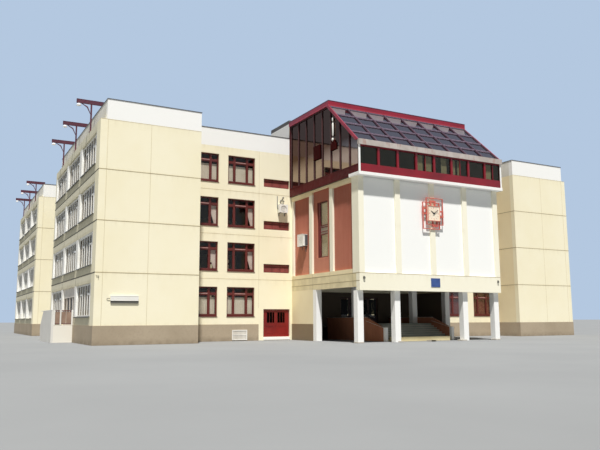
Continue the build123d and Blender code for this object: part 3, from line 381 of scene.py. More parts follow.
# Each render: the nodes it is on, its clean, tired and grimy tones, its wear, and where shade is painted on
# it
RENDERS = {
    "cream_render": ("recess_walls door_bay_wall door_surround court_walls link_walls", *PLAIN_CREAM),
    "gable_render": ("gable_walls", *PLAIN_CREAM, 1, None, 0, 0, GABLE_EDGE),
    "shaded_cream_render": ("wing_return_walls", *SHADED_CREAM),
    "portico_back_render": ("hall_rear_wall", *PLAIN_CREAM, 1, PORTICO_PAINTED_SHADE, SOFFIT + 0.13, 9),
    "portico_side_render": ("portico_side_walls", *SHADED_CREAM, 1, PORTICO_PAINTED_SHADE, 1.9, 2.92),
    "white_render": ("cross_parapets hall_cornice portico_columns stair_end_posts penthouse_walls",
                     (252, 252, 249), (249, 249, 245), (206, 205, 196), 0.5),
    "panel_white": ("hall_front_panels", (253, 254, 251), (249, 250, 246), (236, 236, 230), 0.4),
    "old_white_render": ("long_parapets", (236, 234, 226), (206, 202, 188), (160, 156, 140), 1.2),
    "pale_cream_render": ("hall_posts hall_front_beam", (253, 249, 229), (249, 244, 220), CREAM_GRIME, 0.8),
    "porch_render": ("porch_wall", (228, 226, 220), (212, 208, 200), (180, 176, 164)),
}
# Each terracotta and stone: its nodes, main, shade and streak or speck, and the paint of its front
TERRACOTTAS = {
    "terracotta": ("hall_flank_panels", (180, 112, 92), (166, 100, 82), (192, 128, 108)),
    "stair_terracotta": ("stair_walls", (176, 118, 88), (154, 98, 74), (188, 130, 104)),
}
STONES = {
    # The slabs' concrete is dark: painted shade for the ceilings seen through the windows and for the
    # portico's soffit
    "concrete": ("bar_slabs wing_and_link_slabs hall_slabs", (96, 90, 80), (80, 75, 68), (72, 68, 62)),
    "step_stone": ("entrance_steps", (168, 170, 158), (140, 142, 132), (104, 104, 96),
                   (240, 226, 176), STEP_Y + 0.01),
    "porch_stone": ("side_steps", (196, 190, 176), (170, 163, 148), (140, 132, 118),
                    (238, 234, 222), SIDE_LEFTS[1] + 0.004),
    "roof_felt": ("upper_roofs", (108, 107, 106), (88, 87, 87), (128, 126, 122)),
    "bottom_step": ("", (244, 230, 184), (232, 214, 164), (206, 188, 142)),
}
# Each paint: its nodes, main and shade, roughness, scale of its clouds, specular, rust and lacquer
PAINTS = {
    "red_metal": ("side_door_frame", (128, 34, 40), (104, 26, 32), 0.38),
    "window_red": ("front_window_frames", (104, 38, 30), (84, 30, 24), 0.45),
    # The main doors' dark maroon is painted shade: they stand deep in the portico's shade
    "dark_door": ("entrance_doors", (72, 38, 32), (56, 30, 26), 0.45),
    "side_board": ("", (90, 24, 27), (70, 18, 22), 0.5, 1.5, 0.15),
    "vent_dark": ("", (64, 16, 15), (46, 12, 12), 0.9, 1.5, 0.05),
    "maroon_metal": ("", (112, 24, 36), (88, 20, 30), 0.42),
    "dark_bar": ("attic_side_frames", (84, 56, 56), (72, 50, 50), 0.5, 1.5, 0.2),
    "band_red": ("attic_front_band", (142, 24, 36), (116, 22, 30)),
    "bracket_red": ("lamp_brackets", (94, 42, 56), (74, 34, 46), 0.5),
    "clock_red": ("clock_frames", (200, 86, 80), (218, 128, 106), 0.5, 9),
    "door_red": ("side_door_left side_door_right", (140, 32, 28), (114, 26, 24)),
    "board_brown": ("", (142, 68, 62), (112, 52, 50), 0.55, 6),
    "porch_brown": ("porch_railing", (160, 134, 116), (132, 108, 92), 0.6, 6),
    "white_plastic": ("side_window_frames air_conditioners", (246, 245, 240), (230, 228, 220), 0.45),
    "screen_grey": ("porch_screen", (238, 232, 222), (214, 206, 196), 0.6, 6),
    "lamp_white": ("", (252, 252, 252), (244, 245, 247), 0.3, 1.5, 0.5, None, 0.3),
    "pale_rose": ("", (196, 158, 150), (168, 124, 120), 0.5, 9),
    "grey_metal": ("", (204, 198, 186), (182, 172, 158), 0.45),
    "gutter_grey": ("attic_gutter", (198, 189, 182), (172, 161, 153), 0.5, 3, 0.5, (168, 120, 104)),
    "sill_metal": ("", (112, 110, 100), (84, 82, 76), 0.6),
    "dark_metal": ("copings", (92, 92, 94), (72, 72, 74), 0.5),
    "black_metal": ("hour_hand minute_hand", (34, 32, 32), (22, 21, 21), 0.35),
    "dial": ("clock_case", (252, 238, 216), (244, 224, 198), 0.5),
    "sign_blue": ("", (66, 92, 152), (52, 76, 132), 0.4, 8),
    "mastic": ("", (190, 176, 140), (168, 154, 120), 0.8),
    "faint_mastic": ("", (220, 208, 174), (204, 192, 158), 0.8),
    "dark_mastic": ("", (104, 98, 82), (84, 78, 64), 0.85),
    "pale_pane": ("", (110, 102, 102), (94, 88, 90), 0.4, 4),
}
CLOTHS = {
    "net_curtain": ("", (246, 238, 226), (230, 218, 202)),
    "drape": ("", (246, 232, 226), (228, 206, 200)),
    "olive_blind": ("", (238, 232, 206), (222, 214, 184)),
}
# Each glass: its nodes, tint, mirror, least and most reflection, and the painted reflection low on the
# attic's sides
GLASSES = {
    "window_glass": ("window_glass", (0.97, 0.97, 0.95, 1), (0.42, 0.36, 0.31, 1), 0.04, 0.32),
    "attic_glass": ("attic_glass", (0.14, 0.12, 0.13, 1), (0.5, 0.41, 0.42, 1), 0.3, 0.8,
                    (0.98, 0.78, 0.68, 1)),
    "dark_glass": ("", (0.1, 0.1, 0.09, 1), (0.14, 0.12, 0.1, 1), 0.04, 0.4),
}
for make, table in ((render_coat, RENDERS), (terracotta_coat, TERRACOTTAS), (stone, STONES), (paint, PAINTS),
                    (cloth, CLOTHS), (glass, GLASSES),
                    (flank_beam_coat, {"flank_beam_render": ("hall_flank_beams",)}),
                    (side_facade, {"side_facade": ("side_walls",)}),
                    (plinth_coat, {"taupe_plinth": ("plinth_fronts plinth_sides",)}),
                    (fascia_coat, {"crimson_metal": ("attic_fascia",)}),
                    (slope_bar_coat, {"slope_bar": ("attic_slope_frame",)})):
    for coat, (nodes, *values) in table.items():
        make(coat, *values)
        for node in nodes.split():
            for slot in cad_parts[node].material_slots:
                slot.link = "OBJECT"
                slot.material = COATS[coat]


def inset(span, edge):
    return (span[0] + edge, span[1] - edge)


def at_share(span, share):
    return span[0] + (span[1] - span[0]) * share


def around(middle, width):
    return (middle - width / 2, middle + width / 2)


def bar_at(span, share, width):
    return around(at_share(span, share), width)


def turns_round(count):
    return [math.tau * step / count for step in range(count)]


def shown(name, data):
    made = bpy.data.objects.new(name, data)
    bpy.context.scene.collection.objects.link(made)
    return made


class Form:
    """Gathers shapes in one mesh. side mirrors them over the middle, back moves them to the rear bar."""

    def __init__(self, wall=None):
        self.mesh = bmesh.new()
        self.wall = wall
        self.side = 1
        self.back = 0.0

    def on(self, wall):
        self.wall = wall
        return self

    def spot(self, u, v, d):
        """The point u along the form's wall, v up and d inwards from its outer face."""
        run, face, inwards = self.wall
        return (u, face + inwards * d, v) if run == FRONT else (face + inwards * d, u, v)

    def vert(self, point):
        return self.mesh.verts.new((self.side * point[0], point[1] + self.back, point[2]))

    def skin(self, rows, closed=False):
        """Faces between rows of points; closed joins the ends of each row."""
        made = [[self.vert(point) for point in row] for row in rows]
        for near, far in zip(made, made[1:]):
            for index in range(len(near) - (not closed)):
                after = (index + 1) % len(near)
                self.mesh.faces.new((near[index], near[after], far[after], far[index]))
        return made

    def solid(self, rows):
        made = self.skin(rows, True)
        self.mesh.faces.new(made[0][::-1])
        self.mesh.faces.new(made[-1])

    def box(self, x, y, z):
        self.solid([[(x[0], deep, z[0]), (x[1], deep, z[0]), (x[1], deep, z[1]), (x[0], deep, z[1])]
                    for deep in y])

    def patch(self, us, vs, d):
        """A flat shape on the wall through corners with these u and v, as thick as d."""
        self.solid([[self.spot(u, v, depth) for u, v in zip(us, vs)] for depth in d])

    def slab(self, u, v, d):
        self.patch((u[0], u[0], u[1], u[1]), (v[0], v[1], v[1], v[0]), d)

    def ring(self, u, v, width, d):
        """A flat frame of four bars inside the rectangle u by v."""
        self.slab(u, (v[0], v[0] + width), d)
        self.slab(u, (v[1] - width, v[1]), d)
        for left in (u[0], u[1] - width):
            self.slab((left, left + width), inset(v, width), d)

    def tube(self, points, radius, sides=8):
        """A round bar through the points."""
        points = [Vector(point) for point in points]
        rings = []
        for index, point in enumerate(points):
            ahead = points[min(index + 1, len(points) - 1)] - points[max(index - 1, 0)]
            ahead.normalize()
            across = ahead.cross(NO_TUBE_RUN).normalized()
            other = ahead.cross(across)
            rings.append([point + radius * (math.cos(turn) * across + math.sin(turn) * other)
                          for turn in turns_round(sides)])
        self.solid(rings)

    def lathe(self, centre, profile, sides=16):
        """A turned shape round an upright axis; the profile is radius and height."""
        self.solid([[(centre[0] + radius * math.cos(turn), centre[1] + radius * math.sin(turn), height)
                     for turn in turns_round(sides)] for radius, height in profile])

    def drop(self, top, foot, v, depth, folds, swell=0.012):
        """Cloth in folds from v[1] down to v[0], its edges going from top to foot. Gives its flat width."""
        steps = max(3, round(folds * 6))
        start = dice.uniform(0, math.tau)
        rows = []
        for down in (0, 0.25, 0.5, 0.75, 1):
            edges = [top[side] + (foot[side] - top[side]) * down ** 1.5 for side in (0, 1)]
            deep = swell * (0.7 + 0.3 * down)
            rows.append([self.spot(at_share(edges, step / steps), at_share(v, 1 - down),
                                   depth + deep * math.sin(start + math.tau * folds * step / steps))
                         for step in range(steps + 1)])
        self.skin(rows)
        return sum((Vector(near) - Vector(far)).length for near, far in zip(rows[0], rows[0][1:]))

    def show(self, name, coat):
        data = bpy.data.meshes.new(name)
        self.mesh.to_mesh(data)
        self.mesh.free()
        data.materials.append(COATS[coat])
        return shown(name, data)

    def piece(self, name, coat, slot, bevel=0.0, smooth=False, body="building"):
        """The form as a piece of the model, its edges cut by bevel."""
        bmesh.ops.recalc_face_normals(self.mesh, faces=self.mesh.faces)
        made = self.show(name, coat)
        for face in made.data.polygons:
            face.use_smooth = smooth
        if bevel:
            edge = made.modifiers.new("edge", "BEVEL")
            edge.width = bevel
            edge.segments = 1
            edge.limit_method = "ANGLE"
        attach(made, body)
        return made


def forms(count, wall=None):
    return [Form(wall) for _ in range(count)]


def placed(shapes, backs=(0.0,)):
    """Runs a loop's body for the left half and mirrored for the right, once for each bar in backs."""
    for back in backs:
        for side in (1, -1):
            for form in shapes:
                form.back, form.side = back, side
            yield back, side
    for form in shapes:
        form.back, form.side = 0.0, 1


def window_z(storey):
    return (FLOORS[storey] + SILL, FLOORS[storey] + HEAD)


# Joints between the wall panels

JOINT_D = (-0.003, 0.003)
GABLE_X = (-HALF_FRONT, -WING_IN)
GABLE_JOINTS = (-9.14, -10.56)
RECESS_JOINT = -4.505
FLANK_JOINTS = (-2.8, -1.35, -0.1, 1.34)


def joint_up(form, wall, u, v, width=0.013):
    form.on(wall).slab(around(u, width), v, JOINT_D)


def joints_across(form, wall, u, width=0.026, heights=FLOORS[1:]):
    for z in heights:
        form.on(wall).slab(u, around(z, width), JOINT_D)


def panel_joints():
    """Mastic joints: one at each storey, and a few upright ones on the gables and recesses."""
    shapes = plain, faint = forms(2)
    for back, _ in placed(shapes, BARS):
        for wall in (GABLE_WALL, GABLE_BACK):
            joints_across(plain, wall, GABLE_X)
            joints_across(faint, wall, GABLE_X, 0.016, [ROOF])
            for x in GABLE_JOINTS:
                joint_up(faint, wall, x, (FLOORS[0], ROOF))
        walls = (COURT_FAR, REAR_WALL) if back else (RECESS_WALL, COURT_NEAR)
        walls = [(run, face - back, inwards) for run, face, inwards in walls]
        for wall, inner in zip(walls, (-HALF_HALL, 0.0 if back else -HALF_HALL)):
            joints_across(faint, wall, (-WING_IN, inner), 0.018)
        joint_up(faint, walls[0], RECESS_JOINT, (FLOORS[0] + 0.6, ROOF), 0.01)
        joints_across(plain, RETURN_WALL, (0.0, RECESS))
        joints_across(plain, RETURN_WALL, (BODY_BACK, WING_D))
    plain.piece("panel_joints", "mastic", "cream_wall")
    faint.piece("faint_panel_joints", "faint_mastic", "cream_wall")


def side_joints():
    form = Form()
    for _ in placed([form], BARS):
        joints_across(form, SIDE_WALL, (0, WING_D), 0.034)
        for left in SIDE_LEFTS[1:]:
            joint_up(form, SIDE_WALL, left - 0.175, (FLOORS[0], ROOF), 0.012)
    form.piece("side_wall_joints", "dark_mastic", "cream_wall")


def hall_joints():
    form = Form()
    joints_across(form, HALL_WALL, (-HALF_HALL, HALF_HALL), 0.014, [BEAM_TOP - 0.012])
    for _ in placed([form]):
        joints_across(form, FLANK_WALL, (HALL_FRONT, RECESS), 0.024, [BEAM_TOP - 0.01])
        joints_across(form, FLANK_WALL, (HALL_FRONT, RECESS), 0.02, [2.01])
        for y in FLANK_JOINTS:
            joint_up(form, FLANK_WALL, y, (FLANK_SOFFIT, FLANK_LOW), 0.01)
    form.piece("hall_joints", "mastic", "cream_wall")


# Bars of the windows

RED_MULLIONS = (0.235, 0.735)
RED_TRANSOMS = (0.77, 0.77, 0.77)
RED_RAIL = 0.04
SIDE_MULLIONS = (0.17, 0.33, 0.5, 0.67, 0.83)
SIDE_TRANSOMS = (0, 0.7, 0, 0, 0.7, 0)
PALE_BAR = 0.034
VENT_X = (0.28, 0.69)
NET_TOP = 0.66
CLOTH_D = 0.135


def window_bars(form, d, hole, z, mullions, transoms, bar, rail=0.0, cross=None):
    """Bars inside the frame of a hole: mullions at shares of its width, over a foot rail, and in each
    light two sashes parted by a transom where transoms gives a share of the height, else one sash."""
    cross = cross or bar
    u, v = inset(hole, FRAME_W), inset(z, FRAME_W)
    if rail:
        form.slab(u, (v[0], v[0] + rail), d)
        v = (v[0] + rail, v[1])
    edges = [u[0]] + [at_share(u, share) for share in mullions] + [u[1]]
    for edge in edges[1:-1]:
        form.slab(around(edge, bar), v, d)
    for index, share in enumerate(transoms):
        left = edges[index] + (bar / 2 if index else 0)
        right = edges[index + 1] - (bar / 2 if index < len(mullions) else 0)
        top = v[1]
        if share:
            middle = at_share(v, share)
            form.slab((left, right), around(middle, cross), d)
            form.ring((left, right), (middle + cross / 2, top), 0.014, inset(d, 0.006))
            top = middle - cross / 2
        form.ring((left, right), (v[0], top), 0.018, inset(d, 0.006))


def recess_windows():
    """Bars, vents, sills and cloth of the recess windows. The strips and two dark windows have boards."""
    shapes = bars, vents, sills, boards, nets, drapes = forms(6, RECESS_WALL)
    shares = (0, *RED_MULLIONS, 1)
    net_width = drape_width = 0
    for _, side in placed(shapes):
        for storey in range(4):
            z = window_z(storey)
            light_z = inset(z, FRAME_W)
            for left in WINDOW_LEFTS[:2]:
                hole = (left, left + WINDOW_W)
                light = inset(hole, FRAME_W)
                window_bars(bars, SET_BACK, hole, z, RED_MULLIONS, RED_TRANSOMS, 0.062,
                            RED_RAIL, 0.075)
                vents.slab([at_share(light, share) for share in VENT_X],
                           bar_at(light_z, 0.79, 0.024), (SET_BACK[0] - 0.008, SET_BACK[0] + 0.004))
                sills.slab(inset(hole, -0.01), (z[0] - 0.014, z[0]), (-0.022, 0.06))
                if storey == 0 and side < 0:
                    boards.slab(light, light_z, (CLOTH_D, CLOTH_D + 0.01))
                elif storey in (0, 3):
                    for near, far in zip(shares, shares[1:]):
                        edges = inset((at_share(light, near), at_share(light, far)), 0.02)
                        net_width += nets.drop(
                            edges, edges, (light_z[0] + 0.01, at_share(light_z, NET_TOP)), CLOTH_D,
                            (edges[1] - edges[0]) / 0.07, 0.008)
                else:
                    drape_width += drapes.drop(
                        (at_share(light, 0.75), light[1]), (at_share(light, 0.92), light[1]),
                        (light_z[0] + 0.04, light_z[1] - 0.2), CLOTH_D, 5, 0.01)
            if storey == 0 and side == 1:
                continue
            light = inset(STRIP, FRAME_W)
            light_z = inset([FLOORS[storey] + up for up in STRIP_Z], FRAME_W)
            boards.slab(light, light_z, (SET_BACK[0] + 0.006, SET_BACK[0] + 0.014))
            for share in (0.34, 0.67):
                bars.slab(bar_at(light, share, 0.02), light_z, SET_BACK)
            bars.slab(light, bar_at(light_z, 0.68, 0.022), SET_BACK)
    bars.piece("recess_window_bars", "window_red", "red_metal", 0.002)
    vents.piece("transom_vents", "pale_rose", "white_plastic", 0.003)
    sills.piece("recess_window_sills", "window_red", "red_metal", 0.002)
    boards.piece("strip_window_boards", "board_brown", "crimson_metal")
    nets.piece("net_curtains", "net_curtain", "white_plastic", smooth=True)
    drapes.piece("side_drapes", "drape", "white_plastic", smooth=True)


def side_windows():
    """White frames and bars of the side windows, thin metal sills and a few curtains."""
    shapes = bars, sills, nets = forms(3, SIDE_WALL)
    width = 0
    for back, side in placed(shapes, BARS):
        depth = DEEP_SET if back else SET_BACK
        for storey in range(4):
            z = window_z(storey)
            for bay, left in enumerate(SIDE_LEFTS):
                if storey == 0 and bay == 1 and side == 1 and not back:
                    continue
                hole = (left, left + SIDE_W)
                if back:
                    bars.ring(hole, z, FRAME_W, depth)
                window_bars(bars, depth, hole, z, SIDE_MULLIONS, SIDE_TRANSOMS, PALE_BAR)
                sills.slab(hole, (z[0] - 0.012, z[0]), (-0.05, 0.06))
                sills.slab(hole, (z[0] - 0.035, z[0] - 0.012), (-0.05, -0.044))
                if side == -1 or back:
                    continue
                for light in dice.sample(range(6), 2):
                    edges = (at_share(hole, light / 6) + 0.04, at_share(hole, (light + 1) / 6) - 0.03)
                    width += nets.drop(edges, edges, inset(z, 0.06), CLOTH_D, 5)
    bars.piece("side_window_bars", "white_plastic", "white_plastic")
    sills.piece("side_window_sills", "sill_metal", "dark_metal")
    nets.piece("side_window_curtains", "net_curtain", "white_plastic", smooth=True)


def hidden_windows():
    """The windows of the courts, the link and the rear front repeat the recess windows and the side ones."""
    shapes = red, pale = forms(2)
    red_bars = (RED_MULLIONS, RED_TRANSOMS, 0.055, RED_RAIL, 0.07)
    pale_bars = ((0.25, 0.5, 0.75), (0, 0.7, 0, 0.7), PALE_BAR)
    for _ in placed(shapes):
        for z in map(window_z, range(4)):
            for form, wall, lefts, width, bars in (
                    (red, COURT_NEAR, WINDOW_LEFTS, WINDOW_W, red_bars),
                    (red, COURT_FAR, WINDOW_LEFTS, WINDOW_W, red_bars),
                    (red, REAR_WALL, REAR_LEFTS, REAR_W, red_bars),
                    (pale, FLANK_WALL, LINK_LEFTS, LINK_W, pale_bars)):
                for left in lefts:
                    form.on(wall).ring((left, left + width), z, FRAME_W, DEEP_SET)
                    window_bars(form, DEEP_SET, (left, left + width), z, *bars)
    red.piece("court_window_frames", "red_metal", "red_metal")
    pale.piece("link_window_frames", "white_plastic", "white_plastic")


# Terracotta flank of the hall

TALL_Y = (-1.1075, -0.3425)
TALL_Z = (2.965, 5.0)
TALL_D = (0.052, 0.098)
TALL_STILE = 0.13
BLIND_H = 0.79
FLANK_LOW = 2.41
FLANK_BAYS = (((-2.8, -1.5567), 5.325), ((-1.3467, -0.1033), 5.425), ((0.1067, 1.35), 5.325))
RIB_PITCH = 0.0622
RIB_W = 0.03
RIB_D = (-0.007, 0.002)
RIB_GAP = 0.03
FAN_R = 0.118


def flank_ribs():
    form = Form(PANEL_WALL)
    clear_y, clear_z = inset(TALL_Y, -RIB_GAP), inset(TALL_Z, -RIB_GAP)
    for _ in placed([form]):
        for bay, high in FLANK_BAYS:
            count = int((bay[1] - bay[0]) / RIB_PITCH)
            for index in range(count):
                u = bar_at(bay, (index + 0.5) / count, RIB_W)
                spans = [(FLANK_LOW, high)]
                if u[1] > clear_y[0] and u[0] < clear_y[1]:
                    spans = [(FLANK_LOW, clear_z[0]), (clear_z[1], high)]
                for v in spans:
                    form.slab(u, v, RIB_D)
    form.piece("flank_ribs", "terracotta", "terracotta", 0.002)


def tall_windows():
    """Frame strip, sashes and roller blinds of the tall window on each flank."""
    shapes = bars, blinds, rails = forms(3, PANEL_WALL)
    frame_y = inset(TALL_Y, FRAME_W)
    light = (frame_y[0], frame_y[1] - TALL_STILE)
    for _ in placed(shapes):
        bars.slab((light[1], frame_y[1]), inset(TALL_Z, FRAME_W), TALL_D)
        for z in (3.81, 4.13, 4.06, 3.9):
            bars.slab(light, around(z, 0.03), TALL_D)
        rails.slab(light, (3.825, 4.115), (0.07, 0.09))
        for low in (3.005, 4.147):
            blinds.skin([[blinds.spot(y, z, 0.112) for y in (light[0] + 0.005, light[1])]
                         for z in (low, low + 0.4, low + BLIND_H)])
    bars.piece("tall_window_bars", "maroon_metal", "red_metal", 0.002)
    rails.piece("tall_window_panel", "grey_metal", "grey_metal", 0.002)
    blinds.piece("tall_window_blinds", "olive_blind", "white_plastic")


def flank_unit():
    """Guard bars round the large air conditioner, its brackets and its grille."""
    guard, bracket = forms(2, UNIT_FACE)
    y = (0.392, 0.792)
    z = (3.5, 3.92)
    guard.ring(inset(y, -0.02), inset(z, -0.02), 0.016, (-0.03, -0.014))
    for index in range(1, 7):
        guard.slab(bar_at(y, index / 7, 0.012), z, (-0.03, -0.02))
    for side_y in inset(y, -0.012):
        for side_z in z:
            guard.slab(around(side_y, 0.014), around(side_z, 0.014), (-0.03, 0.168))
    for side_y in inset(y, 0.05):
        bracket.slab(around(side_y, 0.02), (z[0] - 0.03, z[0]), (0.0, 0.168))
        bracket.slab(around(side_y, 0.02), (z[0] - 0.14, z[0]), (0.15, 0.168))
    bracket.slab((y[0] - 0.05, y[0] - 0.02), inset(z, 0.02), (0.06, 0.168))
    bracket.tube([(-3.1, 0.42, 3.48), (-3.08, 0.42, 3.3), (-3.04, 0.42, 3.26)], 0.009)
    guard.piece("flank_unit_guard", "white_plastic", "white_plastic")
    bracket.piece("flank_unit_bracket", "dark_metal", "dark_metal")


def fan_grille(form, middle, across):
    """Three rings and a cross over a fan; across is the flat way over its face."""
    def point(turn, radius):
        way = math.cos(turn) * Vector(across) + math.sin(turn) * Vector((0, 0, 1))
        return Vector(middle) + radius * way

    for share in (0.35, 0.68, 1.0):
        form.tube([point(math.tau * step / 16, FAN_R * share) for step in range(17)], 0.003, 4)
    for turn in (0, math.pi / 2):
        form.tube([point(turn, -FAN_R), point(turn, FAN_R)], 0.003, 4)


def recess_unit():
    """Pipes, bracket and grilles of the air conditioners."""
    dark, grille = forms(2)
    x = (-3.72, -3.36)
    foot = 4.853
    dark.tube([(x[0] - 0.012, 1.485, 5.5), (x[0] - 0.012, 1.485, 5.1), (x[0] - 0.004, 1.45, 4.98)], 0.013)
    dark.tube([(-3.53 + 0.085 * math.cos(turn), 1.478, 5.29 + 0.075 * math.sin(turn))
               for turn in turns_round(14)], 0.013)
    dark.tube([(-3.53, 1.478, 5.37), (-3.5, 1.478, 5.47), (-3.44, 1.485, 5.49)], 0.011)
    for left in (x[0] + 0.05, x[1] - 0.07):
        dark.box((left, left + 0.02), (1.33, 1.5), (foot - 0.022, foot))
        dark.box((left, left + 0.02), (1.482, 1.5), (foot - 0.12, foot))
    fan_grille(grille, (-3.54, 1.306, 5.0105), (1, 0, 0))
    fan_grille(grille, (-3.199, 0.592, 3.71), (0, 1, 0))
    dark.piece("unit_pipes", "dark_metal", "dark_metal", smooth=True)
    grille.piece("fan_grilles", "grey_metal", "grey_metal", smooth=True)


# Small things on the fronts

PLATE_X = (-10.3, -9.42)
PLATE_Z = (1.37, 1.53)
SIGN_X = (-0.163, 0.232)
SIGN_Z = (1.85, 2.15)
GRILLE_X = (-5.57, -4.975)
GRILLE_Z = (0.03, 0.395)
CLOCK_Z = 4.41
CLOCK_HALF = 0.27


def plates():
    """Blank address light box on its arm, blank blue sign and the two small lamps on the front beam."""
    plate, arm = forms(2, GABLE_WALL)
    sign, beam_lamps = forms(2, HALL_WALL)
    plate.slab(PLATE_X, PLATE_Z, (-0.05, 0.0))
    plate.ring(PLATE_X, PLATE_Z, 0.012, (-0.056, -0.05))
    plate.piece("address_plate", "white_plastic", "white_plastic", 0.003)
    # The channel under the box is dark metal: partly its own colour, partly painted shade under the box
    arm.slab((PLATE_X[0] + 0.01, PLATE_X[1]), (1.29, 1.368), (-0.034, 0.0))
    arm.tube([(-10.4, 0.0, 1.4), (-10.4, -0.03, 1.44), (-10.31, -0.03, 1.44)], 0.01)
    arm.tube([(-10.76, 0.0, 2.15), (-10.75, -0.02, 2.14), (-10.68, -0.02, 2.15), (-10.69, -0.02, 2.06)],
             0.008)
    arm.piece("address_plate_arm", "sill_metal", "dark_metal", 0.002)
    sign.slab(SIGN_X, SIGN_Z, (-0.012, 0.0))
    sign.ring(SIGN_X, SIGN_Z, 0.014, (-0.017, -0.01))
    sign.piece("blue_sign", "sign_blue", "dark_metal", 0.002)
    for x in ((-2.97, -2.9), (2.93, 2.99)):
        beam_lamps.slab(x, (2.06, 2.13), (-0.05, 0.0))
        beam_lamps.slab(inset(x, 0.012), (2.13, 2.155), (-0.03, 0.0))
    beam_lamps.piece("beam_lamps", "sill_metal", "dark_metal", 0.006)


def plinth_grille():
    slats, backing = forms(2, PLINTH_WALL)
    slats.ring(GRILLE_X, GRILLE_Z, 0.03, (-0.02, 0.0))
    for index in range(1, 12):
        slats.slab(bar_at(GRILLE_X, index / 12, 0.014), inset(GRILLE_Z, 0.03), (-0.016, -0.004))
    slats.slab(inset(GRILLE_X, 0.03), bar_at(GRILLE_Z, 0.5, 0.02), (-0.016, -0.002))
    backing.slab(inset(GRILLE_X, 0.02), inset(GRILLE_Z, 0.02), (-0.004, 0.002))
    slats.piece("plinth_grille", "white_plastic", "white_plastic", 0.002)
    backing.piece("plinth_grille_back", "grey_metal", "grey_metal")


def clock_marks():
    """Twelve plain marks round the dial, the longer ones at the quarters."""
    form = Form(DIAL)
    for hour in range(12):
        angle = math.tau * hour / 12
        inner, half = (0.19, 0.005) if hour % 3 else (0.165, 0.009)
        corners = ((0.222, -half), (0.222, half), (inner, half), (inner, -half))
        form.patch([out * math.sin(angle) + along * math.cos(angle) for out, along in corners],
                   [CLOCK_Z + out * math.cos(angle) - along * math.sin(angle) for out, along in corners],
                   (-0.0025, 0.001))
    form.on(CLOCK_RIM).ring((-CLOCK_HALF, CLOCK_HALF), (CLOCK_Z - CLOCK_HALF, CLOCK_Z + CLOCK_HALF), 0.02,
                            (-0.004, 0.002))
    form.piece("clock_marks", "clock_red", "crimson_metal")


def door_parts():
    """Dark panes with rims and raised lower panels on each leaf of the side door, and its threshold."""
    pane_z = (0.645, 1.045)
    for name, x, panel in (("left", (-4.15, -3.81), (-4.19, -3.84)),
                           ("right", (-3.71, -3.37), (-3.67, -3.32))):
        pane, rims = forms(2, DOOR_WALL)
        pane.slab(inset(x, 0.012), pane_z, (-0.003, 0.004))
        pane.piece(name + "_leaf_pane", "dark_glass", "window_glass", body="side_door_" + name)
        rims.ring(x, inset(pane_z, -0.012), 0.016, (-0.007, 0.004))
        for share in (0.36, 0.72):
            rims.slab(bar_at(x, share, 0.012), pane_z, (-0.006, 0.002))
        rims.ring(panel, (0.2, 0.545), 0.016, (-0.005, 0.008))
        rims.ring(inset(panel, 0.06), (0.26, 0.485), 0.01, (0.0, 0.008))
        rims.piece(name + "_leaf_rims", "door_red", "red_metal", 0.002, body="side_door_" + name)
    step = Form()
    step.box(DOOR_BAY, (1.478, 1.5), (0.02, 0.122))
    step.piece("side_door_threshold", "white_render", "white_wall", 0.004)


# Glazed attic

SLOPE_FOOT = (ATTIC_Y, EAVE)
SLOPE_HEAD = (-1.55, 8.34)
SLOPE_LENGTH = math.dist(SLOPE_FOOT, SLOPE_HEAD)
PALE_PANES = (((-3.13, -2.525), (-3.13, -2.75)), ((-2.36, -1.6), (-2.3, -1.834)),
              ((-1.56, -0.83), (-1.5, -1.093)), ((-0.77, -0.03), (-0.7, -0.3)), ((0.02, 0.76), (0.07, 0.4)),
              ((0.82, 1.55), (0.9, 1.2)), ((1.62, 2.34), (1.7, 2.0)), ((2.41, 3.13), (2.5, 2.85)))
VENTS = (((-0.84, -0.4), (6.56, 7.08), 0.01), ((-1.95, -1.62), (6.66, 6.9), 0.012),
         ((-1.87, -1.7), (6.9, 7.0), 0.012))
PIPE_PARTS = ((-1.78, ((0.02, 7.16), (0.032, 7.18), (0.032, 7.62), (0.02, 7.64))),
              (-1.78, ((0.012, 7.68), (0.03, 7.7), (0.03, 7.8), (0.015, 7.83))),
              (-1.76, ((0.01, 6.97), (0.032, 6.99), (0.04, 7.035), (0.032, 7.08), (0.01, 7.1))))
BAND_D = (0.012, 0.036)
HANGINGS = ((3, ((0.05, 0.4), (0.6, 0.95))), (4, ((0.45, 0.8),)), (5, ((0.05, 0.25), (0.4, 0.6))),
            (7, ((0.1, 0.45),)))
HANGING_H = 0.54
HANGING_Z = (5.88, 5.88 + HANGING_H)


def on_slope(x, share, lift):
    """A point on the slope: share 0 at its foot and 1 at its head, lift out of its surface."""
    y = at_share((SLOPE_FOOT[0], SLOPE_HEAD[0]), share)
    z = at_share((SLOPE_FOOT[1], SLOPE_HEAD[1]), share)
    out_y = -(SLOPE_HEAD[1] - SLOPE_FOOT[1]) / SLOPE_LENGTH
    out_z = (SLOPE_HEAD[0] - SLOPE_FOOT[0]) / SLOPE_LENGTH
    return (x, y + out_y * lift, z + out_z * lift)


def slope_sheets():
    """The pale film on the top row of panes, with a slanting lower edge, and a cap on each bar."""
    overlay, caps = forms(2)
    for top, foot in PALE_PANES:
        corners = ((top[0], 0.965), (top[1], 0.965), (foot[1], 0.79), (foot[0], 0.765))
        overlay.solid([[on_slope(x, share, lift) for x, share in corners] for lift in (-0.036, -0.031)])
    overlay.piece("slope_pale_panes", "pale_pane", "attic_glass")
    for bay in range(1, 8):
        x = around(-ATTIC_X + bay * ATTIC_PITCH, 0.02)
        caps.solid([[on_slope(x[end], share, lift) for end, lift in ((0, 0), (1, 0), (1, 0.006), (0, 0.006))]
                    for share in (0.01, 0.99)])
    caps.piece("slope_bar_caps", "slope_bar", "red_metal")


